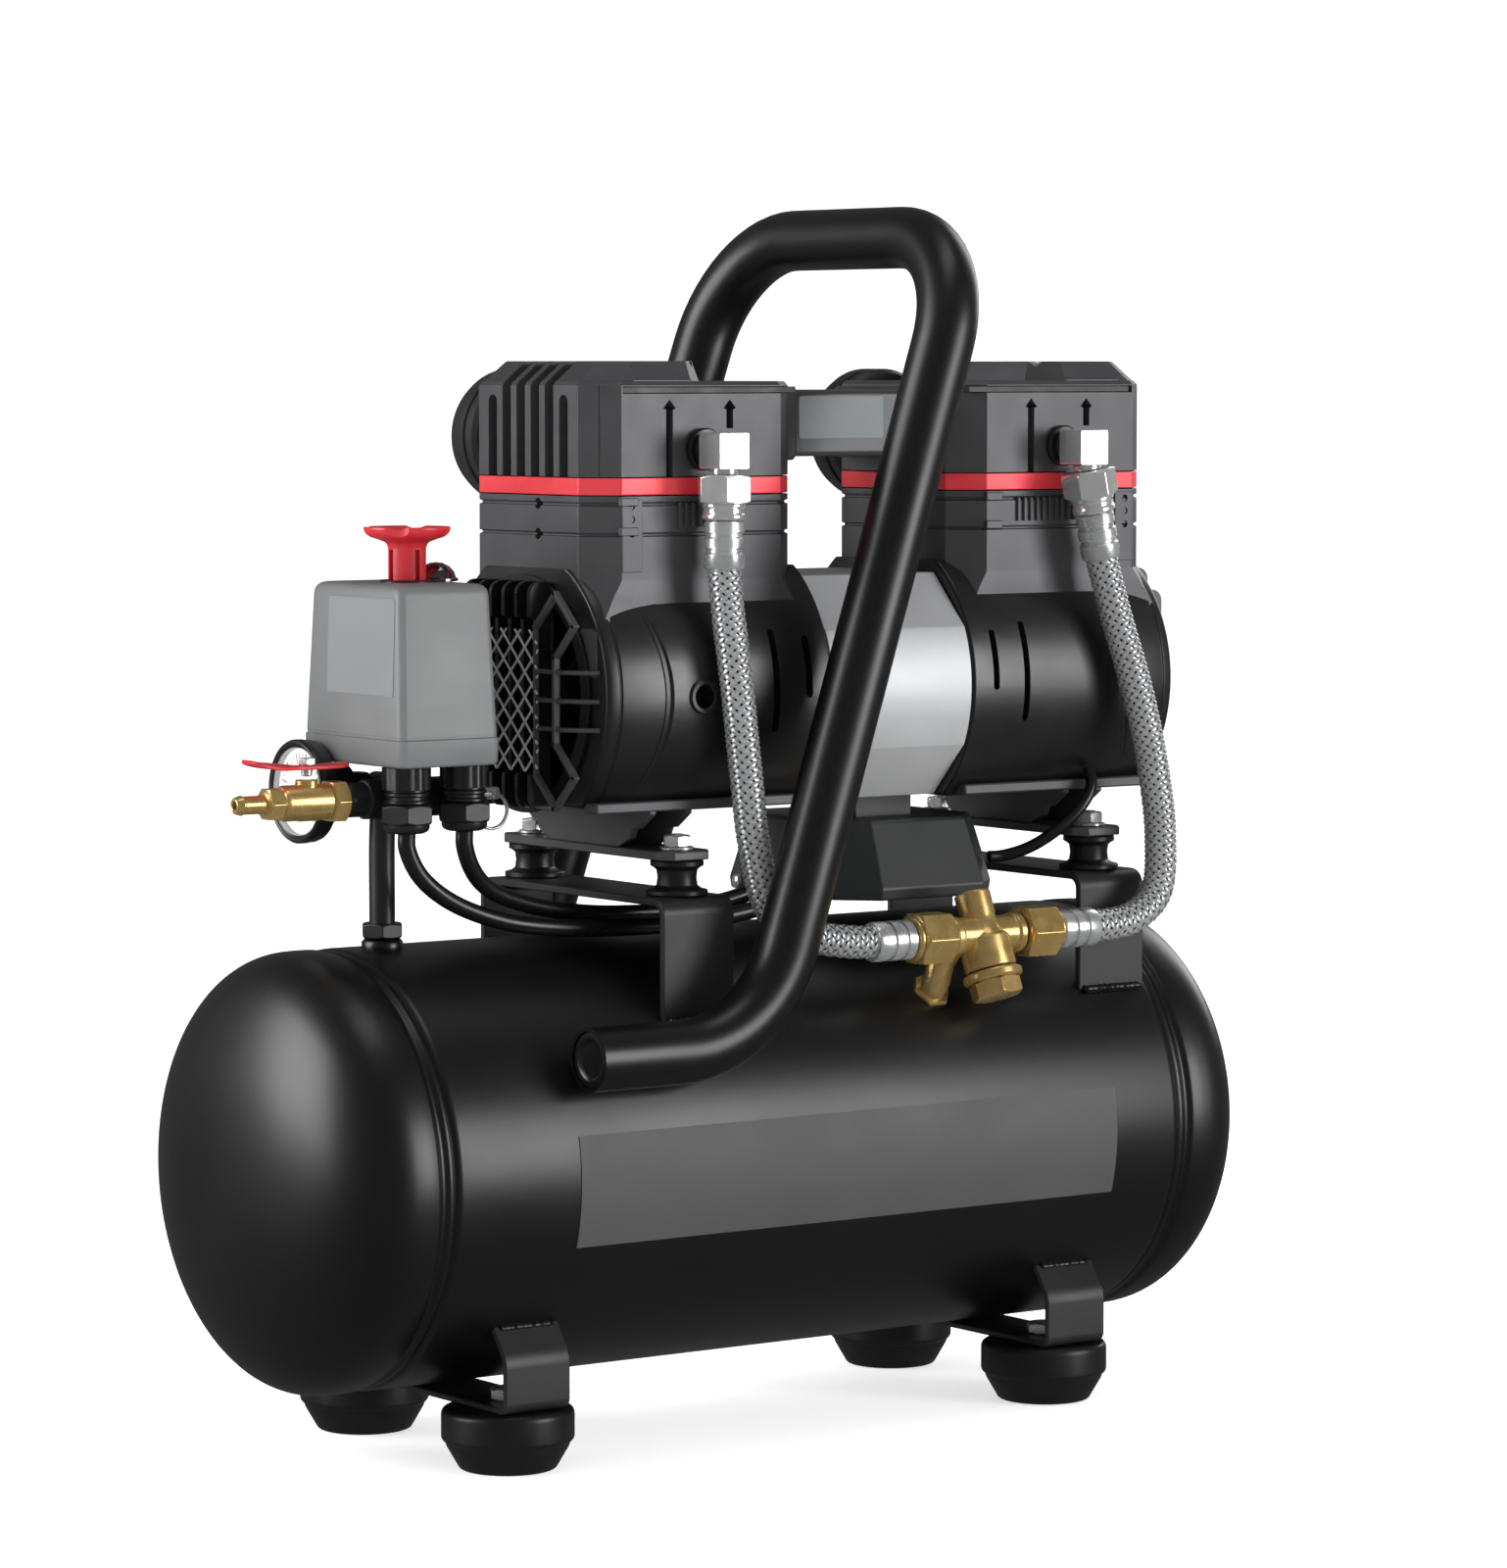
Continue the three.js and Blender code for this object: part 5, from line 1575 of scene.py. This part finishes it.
run = [
    (0, -26), (4.2, -26.2), (5, -25.4), (5, -18.2), (7.4, -17.6), (8.1, -16.8), (8.1, -14.4),
    (7.3, -13.4), (7.3, 13.4),
    (8.1, 14.4), (8.1, 16.8), (7.4, 17.6), (5, 18.2), (5, 25.4), (4.2, 26.2), (0, 26),
]
barrel = [
    (0, -17.4), (6.4, -17.4), (7.3, -16.6), (7.3, -8.0), (7.0, -6.4), (7.2, -4), (8.8, 0.5),
    (10.5, 2.4), (10.5, 13.6), (9.9, 14.6), (0, 14.6),
]
bend = VALVE + Vector((-16, 10, -20))
to_axis = Vector((bend.x, bend.y * 0.9, TANK_Z + (bend.z - TANK_Z) * 0.9))
inlet = through(
    [
        VALVE + Vector((-6, 3, 0)), VALVE + Vector((-10, 4.5, -3)), VALVE + Vector((-14, 7.5, -9.5)),
        bend, to_axis,
    ],
    8,
)
valve = merged(
    turned([(r, VALVE.x + d) for r, d in run], axis_x(VALVE.y, VALVE.z), 64),
    turned(barrel, aim(VALVE, barrel_point(10)), 64),
    tube(5.6, inlet, 32),
    hex_bar(14, 0, 6, aim(bend + (to_axis - bend) * 0.25, to_axis)),
)
piece("check_valve", valve, brass, replaces="check_valve_body", bevel=0.2)
cap_way = aim(barrel_point(15.3), barrel_point(30))
cap = merged(
    turned([(0, 0), (11.2, 0), (12, 0.8), (12, 3.0), (11.2, 3.8), (0, 3.8)], cap_way, 64),
    hex_bar(18.6, 3.6, 10.8, cap_way),
)
piece("valve_cap", cap, brass, replaces="check_valve_cap", bevel=0.3)
print("check valve at", [round(v) for v in VALVE])

# %% [markdown]
# ## Manifold, tap, gauge and safety valve
# A riser tube brings air from the tank up to a small manifold under the switch. The tap
# screws into one end of it, the safety valve into the other, and the gauge into a branch.
# Every one of these is turned from bar, so each is a profile spun about the manifold's axis,
# with hexagons where a spanner goes.

# %% Manifold
tap_pin = joint_place("tap_turn")
PORT = Vector((0, tap_pin.y, 254.0))
GAUGE = span("gauge_case")[2]
ring_pin = joint_place("safety_ring_swing")
SWITCH = span("switch_base")[2]
RISER_X = -153.0

along_port = axis_x(PORT.y, PORT.z)
port_run = [
    (0, -172.3), (6, -172.3), (6.6, -171.6), (6.6, -164), (7.6, -163.4), (7.6, -128.4), (6.6, -127.8),
    (0, -127.3),
]
riser = through(
    [(RISER_X, 0, TANK_Z + TANK_R + 3.2), (RISER_X, 0, 215), (RISER_X, 0, 235), (RISER_X, -1, 252)], 8
)
manifold = merged(
    turned(port_run, along_port, 48),
    tube(5, riser, 40),
    hex_bar(15, TANK_Z + TANK_R + 3.3, TANK_Z + TANK_R + 9, axis_z(RISER_X, 0)),
    rod(5.6, (-140, PORT.y, GAUGE.z + 1), (-140, GAUGE.y, GAUGE.z + 1), 32, 0.6),
    rod(5, (-151.5, GAUGE.y, GAUGE.z), (-136, GAUGE.y, GAUGE.z), 32, 0.4),
    hex_bar(13, -149.5, -144.5, axis_x(GAUGE.y, GAUGE.z)),
    rod(6.4, (SWITCH.x, PORT.y + 2, PORT.z), (SWITCH.x, PORT.y + 2, 267.1), 40, 0.4),
)
piece("manifold", manifold, dark_sheet, replaces="riser_manifold", bevel=0.3)

# %% Tap
TAP = {"tip": -220.4, "end": -172.7, "stem": tap_pin.x}
tap_profile = [
    (1.6, TAP["tip"] + 0.2), (2.6, TAP["tip"]), (3.2, -219.8), (3.9, -217.4), (3.5, -216.6),
    (3.5, -210.0), (3.7, -209.2),
    (3.5, -207.6), (5.0, -207.2), (5.2, -206.4), (5.2, -201), (6.4, -200.2), (6.9, -198.8),
    (6.9, -193.2), (7.2, -192.2), (7.2, -184.4), (6.9, -183.4), (6.9, -180), (6.2, -179.2), (1.6, -179.2),
]
tap = merged(
    turned(tap_profile, along_port, 56),
    hex_bar(11.6, -207, -200.6, along_port, bore=3),
    hex_bar(15, -179.6, TAP["end"], along_port, bore=3),
    turned([(0, 257), (4.4, 257), (4.4, 262.2), (4.0, 262.8), (0, 262.8)], axis_z(TAP["stem"], PORT.y), 40),
)
piece("tap", tap, brass, replaces="tap_body", bevel=0.2)
wing = [
    (-26, -5.4), (-21, -6.8), (-12, -5.4), (-5, -3.7), (6, -4.2), (15, -4.9), (17.5, -3), (17.5, 3),
    (15, 4.9), (6, 4.2), (-5, 3.7), (-12, 5.4), (-21, 6.8), (-26, 5.4),
]
outline = soften([(TAP["stem"] + a, PORT.y + b) for a, b in wing], 2.0, 4)
lever = stacked([(266.6, outline), (268.2, outline)])
lever_verts = []
for corner in lever[0]:
    # both ends of the stamped lever curl up
    reach = abs(corner.x - TAP["stem"])
    lever_verts.append(corner + Z * (0.0 if reach < 9 else 0.010 * (reach - 9) ** 2))
piece(
    "tap_lever_wing", (lever_verts, lever[1]), red_plastic, body="tap_handle", replaces="tap_lever",
    bevel=0.45, crease=40,
)
stem_nut = merged(
    rod(2.1, (TAP["stem"], PORT.y, 263.9), (TAP["stem"], PORT.y, 270.6), 24, 0.4),
    hex_bar(6.2, 268.3, 270.9, axis_z(TAP["stem"], PORT.y)),
)
piece("tap_stem_nut", stem_nut, zinc, body="tap_handle", bevel=0.15)

# %% [markdown]
# The gauge faces the tank's left end. A painted steel case holds a white dial with an arc of
# ticks, a red hand and a flat window of clear acrylic. At this size only the ticks can be
# made out, so only ticks are made.

# %% Gauge
gauge_low = span("gauge_case")[0]
FACE = gauge_low.x + 0.2
case_place = axis_x(GAUGE.y, GAUGE.z)
case = [
    (0, -152.2), (6.5, -152.2), (7.2, -153), (10, -154), (10.2, -155), (10.2, -167.6), (17.6, -167.5),
    (19.4, -168.2),
    (19.8, -169.4), (19.8, -172.0), (20.1, -172.6), (20.1, -175.2), (19.6, FACE + 0.2), (18.9, FACE),
    (18.2, FACE + 0.3),
    (18.2, FACE + 3.6), (0, FACE + 3.6),
]
piece("gauge_housing", turned(case, case_place, 96), dark_sheet, replaces="gauge_case", bevel=0, crease=36)
bezel = [(18.15, FACE + 3.5), (18.15, FACE + 0.9), (17.0, FACE + 1.6), (16.8, FACE + 3.5)]
piece("gauge_bezel", turned(bezel, case_place, 96), black_abs, crease=36)
dial = [(0, FACE + 3.55), (16.7, FACE + 3.55), (16.7, FACE + 3.2), (0, FACE + 3.2)]
piece("gauge_dial", turned(dial, case_place, 72), dial_card, crease=36)
ticks = []
dial_place = Matrix.Translation((0, GAUGE.y, GAUGE.z)) @ Matrix(
    ((0, 0, -1, FACE + 3.2), (1, 0, 0, 0), (0, 1, 0, 0), (0, 0, 0, 1))
)
for i in range(28):
    angle = math.radians(-45 + 270 * i / 27)
    inner, wide = (11.2, 0.65) if i % 3 == 0 else (12.6, 0.35)
    a = Vector((-math.cos(angle), math.sin(angle)))
    ticks.append(bar(a * inner, a * 14.8, wide, 0, 0.12, dial_place))
piece("gauge_ticks", merged(*ticks), black_abs, crease=36)
hand = [(-1.0, 4.2), (1.0, 4.2), (1.3, 0), (0.3, -13.6), (-0.3, -13.6), (-1.3, 0)]
turn = Matrix.Rotation(-math.pi / 4, 4, "Z")
hand = [turn @ Vector((a, b, 0)) for a, b in hand]
needle = merged(
    prism([(p.x, p.y) for p in hand], FACE + 2.0, FACE + 2.45, case_place),
    turned(
        [(0, FACE + 1.5), (1.5, FACE + 1.5), (1.9, FACE + 1.9), (1.9, FACE + 3.1), (0, FACE + 3.1)],
        case_place, 32,
    ),
)
piece("gauge_hand", needle, red_plastic, body="needle", replaces="gauge_needle", bevel=0.06)
glass_disc = [(0, FACE + 1.15), (17.0, FACE + 1.15), (17.0, FACE + 0.75), (0, FACE + 0.75)]
piece("gauge_glass", turned(glass_disc, case_place, 72), glass, crease=36)

# %% Safety valve and its split ring
start = -126.7
valve_profile = [
    (0, start), (4.4, start), (4.4, start + 1.4), (6.2, start + 5.8), (6.2, start + 7),
    (5.4, start + 7.5), (5.4, start + 8.6), (6.2, start + 9.2),
    (6.2, start + 11.4), (5.2, start + 12.6), (2.6, start + 12.8), (2.5, -102.8), (2.0, -102.2), (0, -102.2),
]
safety = piece(
    "safety_valve_body",
    merged(turned(valve_profile, along_port, 48), hex_bar(14, start + 0.4, start + 6, along_port)),
    nickel, replaces="safety_valve", bevel=0.15,
)
carve(safety, rod(1.75, ring_pin + Y * -6, ring_pin + Y * 6, 24))
RING = {"radius": 6.9, "wire": 0.62}
coil = []
for i in range(145):
    t = i / 144
    angle = math.tau * 2 * t * 0.985
    shift = (t - 0.5) * 1.3
    coil.append(
        ring_pin + Vector(
            (RING["radius"] * math.sin(angle), shift, -RING["radius"] + RING["radius"] * math.cos(angle))
        )
    )
piece("split_ring", tube(RING["wire"], coil, 10), zinc, body="pull_ring", replaces="safety_ring", crease=60)
print("manifold axis at y", round(PORT.y, 1), "z", PORT.z)

# %% [markdown]
# ## The pressure switch
# The switch starts and stops the motor as the tank empties and fills. Its cover is a tall
# tapered ABS moulding with softly rounded corners, so it leaves the mould cleanly. The red
# knob is pulled up to run and pushed down to stop. Two cable glands hang under the tray.

# %% Switch cover and tray
TRAY = {"low": 267.5, "split": 278.2, "top": 336.5, "half_x": 22.5, "half_y": 36.0, "corner": 3.2}
knob_low, knob_high, KNOB = span("switch_knob")
SWITCH_X = -144.0


def soft_box(half_x, half_y, corner=3.2):
    x, y = SWITCH_X, 0.0
    return soften(
        [(x - half_x, -half_y), (x + half_x, -half_y), (x + half_x, half_y), (x - half_x, half_y)],
        corner, 5,
    )


def taper(z):
    """Half sizes of the cover at a height, from its foot to its crown."""
    t = (z - TRAY["split"]) / (TRAY["top"] - TRAY["split"])
    return TRAY["half_x"] - 0.3 - 1.7 * t, TRAY["half_y"] - 0.5 - 3.5 * t


rows = [
    (TRAY["split"] + 0.5, -0.5), (TRAY["split"] + 1.0, 0.0), (332.4, 0.0), (334.2, -0.35), (335.5, -1.2),
    (336.2, -2.3), (336.5, -3.6),
]
sections = []
for z, grow in rows:
    half_x, half_y = taper(z)
    sections.append((z, soft_box(half_x + grow, half_y + grow, TRAY["corner"])))
cover = piece("switch_hood", stacked(sections), grey_abs, replaces="switch_cover", crease=40)
well = rod(8.6, (KNOB.x, 0, 326), (KNOB.x, 0, 340), 48)
carve(cover, well, crease=40)
collar = [
    (8.6, 330), (8.6, 336.9), (9.1, 337.4), (10.2, 337.4), (10.7, 336.8), (10.7, 336.3), (9.4, 336.1),
    (9.4, 330),
]
piece("knob_collar", turned(collar, axis_z(KNOB.x, 0), 56), black_abs, crease=36)
bolt_x = KNOB.x + 13.0
dome = [
    (0, 343.9), (2.4, 343.6), (5.2, 342.3), (7.1, 340.2), (7.8, 338.0), (8.6, 337.6), (8.6, 336.7),
    (6.2, 336.3), (0, 336.3),
]
piece("cover_dome_nut", turned(dome, axis_z(bolt_x, 0), 48), chrome_black, crease=36)

tray_rows = [
    (TRAY["low"], -1.6), (TRAY["low"] + 0.5, -0.7), (TRAY["low"] + 1.4, -0.2), (TRAY["split"] - 0.5, 0.0),
    (TRAY["split"] - 0.1, -0.5),
]
tray = stacked([(z, soft_box(TRAY["half_x"] + g, TRAY["half_y"] + g, TRAY["corner"])) for z, g in tray_rows])
lip = stacked(
    [
        (z, soft_box(TRAY["half_x"] - 0.45, TRAY["half_y"] - 0.6, TRAY["corner"]))
        for z in (TRAY["split"] - 0.6, TRAY["split"] + 1.2)
    ]
)
piece("switch_tray", tray, grey_abs, replaces="switch_base", crease=40)
piece("switch_lip", lip, grey_abs, crease=40)

# %% The blank label on the cover
def on_cover(y, z, out):
    """A point on the cover's outer end face, which leans inwards with height."""
    return Vector((SWITCH_X - taper(z)[0] - out, y, z))


corners = soften([(-29.2, 294.5), (18.5, 294.5), (18.5, 331.3), (-29.2, 331.3)], 1.2, 4)
rings = [[on_cover(y, z, out) for y, z in corners] for out in (-0.3, 0.22)]
verts, faces = skin(rings)
count = len(corners)
label = (verts, [*faces, list(range(count)), list(range(count, 2 * count))])
piece("switch_label", label, pale_label, crease=30)

# %% Glands
gland_places = [SWITCH_X - 11.5, SWITCH_X + 14.5]
GLAND_Y = -22.0
bodies, nuts = [], []
for x in gland_places:
    place = axis_z(x, GLAND_Y)
    ribs = []
    for i in range(48):
        size = 9.4 - (0.45 if i % 4 in (2, 3) else 0)
        ribs.append((size * math.cos(math.tau * i / 48), size * math.sin(math.tau * i / 48)))
    bodies.append(prism(ribs, 258.6, 267.2, place))
    bodies.append(
        turned(
            [
                (4, 253.4), (8.6, 253.4), (8.6, 254.4), (7.8, 254.8), (7.8, 256), (8.6, 256.4),
                (8.6, 257.4), (7.8, 257.8), (7.8, 259), (4, 259),
            ],
            place, 40,
        )
    )
    nuts.append(hex_bar(19, 245.4, 253, place, bore=3.9))
    nuts.append(
        turned([(3.9, 242), (6.6, 242), (8.2, 242.8), (8.8, 244), (8.8, 245.6), (3.9, 245.6)], place, 40)
    )
piece("gland_bodies", merged(*bodies), black_abs, bevel=0.15)
piece("gland_nuts", merged(*nuts), dark_sheet, bevel=0.3)

# %% Knob
profile = [
    (0, 328.2), (6.6, 328.2), (7.3, 329), (7.3, 349.6), (8.2, 351.6), (11.4, 352.9), (14.4, 353.8),
    (16.2, 355.3),
    (16.8, 356.9), (16.5, 357.9), (15.7, 357.6), (13.6, 356.0), (10, 355.4), (0, 355.2),
]
knob = piece(
    "knob_red", turned(soften(profile, 0.6, 3, closed=False), axis_z(KNOB.x, 0), 96), red_plastic,
    body="knob", replaces="switch_knob", crease=50,
)
notches = [
    block((KNOB.x - 1.3, -12, 320), (KNOB.x + 1.3, -5.2, 349.0)),
    block((KNOB.x - 1.3, 5.2, 320), (KNOB.x + 1.3, 12, 349.0)),
]
notches += [block((KNOB.x - 12, -1.3, 320), (KNOB.x - 5.2, 1.3, 349.0))]
for turn_by in (45, 135, 225, 315):
    spot = Vector((math.cos(math.radians(turn_by)), math.sin(math.radians(turn_by)), 0)) * 22.6
    notches.append(rod(8.0, (KNOB.x + spot.x, spot.y, 345), (KNOB.x + spot.x, spot.y, 362), 40))
carve(knob, *notches, crease=50)
print("knob", round(knob_high.x - knob_low.x), "mm across")

# %% [markdown]
# ## Capacitor cover and leads
# The start capacitor hides in a cover folded from sheet, under the motor. Its sides slope
# out to a wide foot. The leads are PVC-sheathed cable, fixed at both ends:
# they drop from the glands, run along the tank's top and enter the cover.

# %% Capacitor cover
CAP = span("capacitor_box")[2]


def cap_outline(half_x, half_y):
    return eight(CAP.x, half_x, half_y, 14)


rows = [
    (207, 38.8, 48.8), (207.8, 39.2, 49.2), (211.6, 39.4, 49.8), (212.4, 39.3, 49.6), (237.2, 37.4, 39.4),
    (238.4, 36.4, 38.2),
]
hood = stacked([(z, cap_outline(hx, hy)) for z, hx, hy in rows])
neck = block((58, -20, 238), (86, 20, MOTOR.z - BARREL["flat"] + 0.4))
piece("capacitor_cover", merged(hood, neck), cap_sheet, replaces="capacitor_box", bevel=0.7, crease=12)
screws = []
for y in (-30, 0, 30):
    for x, facing in ((CAP.x - 39.4, -1), (CAP.x + 39.4, 1)):
        a = Vector((x - facing * 1.0, y, 210))
        screws.append(
            turned(
                [(0, 1.9), (2.0, 1.8), (2.9, 1.1), (3.1, 0.4), (3.1, 0), (0, 0)],
                aim(a + X * facing * 0.9, a + X * facing * 5), 24,
            )
        )
piece("capacitor_screws", merged(*screws), zinc, crease=40)
grommets = []
for y, z in ((-26, 213), (-13, 216)):
    grommets.append(
        turned(
            [(3.5, -1.5), (4.8, -1.5), (5.2, -1.0), (5.2, 0.6), (4.6, 1.1), (3.5, 1.1)],
            aim((35.2, y, z), (30, y, z)), 32,
        )
    )
piece("lead_grommets", merged(*grommets), rubber, crease=40)

# %% Leads
LEADS = {
    "switch_lead_a": (3.4, [
        (-155.5, -22, 241.6), (-155.3, -22, 236), (-150, -22.5, 225.5), (-138, -24, 215.5),
        (-117, -26, 207), (-90, -26.5, 202.6),
        (-60, -26.5, 201), (-30, -26.5, 201.2), (0, -26.5, 204), (22, -26, 209.5), (35, -26, 213)]),
    "switch_lead_b": (3.4, [
        (-129.5, -22, 241.6), (-129.3, -21.8, 236), (-125, -20.5, 226.5), (-116, -18, 218.4),
        (-96, -15, 211), (-71, -13.5, 206.4),
        (-50, -13, 204.8), (-25, -13, 204.8), (0, -13, 207.5), (20, -13, 212.5), (35, -13, 216)]),
    "capacitor_lead": (2.4, [
        (153, -51, 256), (152, -54, 249), (146, -54.5, 240.5), (137, -51.5, 232), (127, -45, 224.5),
        (117.5, -39.5, 221.2), (112, -38, 221)]),
}
for name, (radius, points) in LEADS.items():
    path = through(points, 10)
    piece(f"{name}_sheath", tube(radius, path, 28), pvc, replaces=name, crease=60)
    print(name, round(path_length(path)), "mm between its ends")

# %% [markdown]
# ## The blank labels
# Vinyl stickers on the tank and polyester ones on the switch and duct are left blank. The
# tank's is a thin curved plate that follows the barrel a fraction of a millimetre out.

# %% Tank label
LABEL = {"left": -118.0, "right": 141.0, "low": -17.0, "high": 12.0, "thick": 0.35}


def on_tank(x, degrees, out):
    """A point over the barrel, by its angle up from the hose side's horizontal."""
    turn = math.radians(degrees)
    radius = TANK_R + out
    return Vector((x, -radius * math.cos(turn), TANK_Z + radius * math.sin(turn)))


edge = soften(
    [
        (LABEL["left"], LABEL["low"]), (LABEL["right"], LABEL["low"]), (LABEL["right"], LABEL["high"]),
        (LABEL["left"], LABEL["high"]),
    ],
    1.5, 3,
)
columns = 24
strips = []
for out in (-0.1, LABEL["thick"]):
    strips.append(
        [
            [
                on_tank(x, LABEL["low"] + (LABEL["high"] - LABEL["low"]) * i / columns, out)
                for x in (LABEL["left"], LABEL["right"])
            ]
            for i in range(columns + 1)
        ]
    )
inner, outer = strips
rings = [[inner[i][0], outer[i][0], outer[i][1], inner[i][1]] for i in range(columns + 1)]
verts, faces = skin(rings)
faces += [[0, 1, 2, 3], [len(verts) - 4, len(verts) - 3, len(verts) - 2, len(verts) - 1]]
piece("tank_sticker", (verts, faces), tank_label, crease=30)

# %% [markdown]
# ## Inside the castings
# The rotor, crankshaft, fans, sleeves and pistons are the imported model's own solids. They
# can be glimpsed through the slots and guards, and get real finishes on their own meshes.

# %% Finishes for carried-over solids
INSIDE = {
    "rotor": ground_steel, "crankshaft": ground_steel, "fan_left": black_abs, "fan_right": black_abs,
    "cylinder_sleeve_left": machined_aluminium, "cylinder_sleeve_right": machined_aluminium,
    "piston_left": machined_aluminium, "piston_right": machined_aluminium,
}
for name, material in INSIDE.items():
    solid = bpy.data.objects[name]
    for place_in_list in range(len(solid.material_slots)):
        solid.material_slots[place_in_list].material = material
print(len(made), "pieces made,", len(INSIDE), "solids carried over")
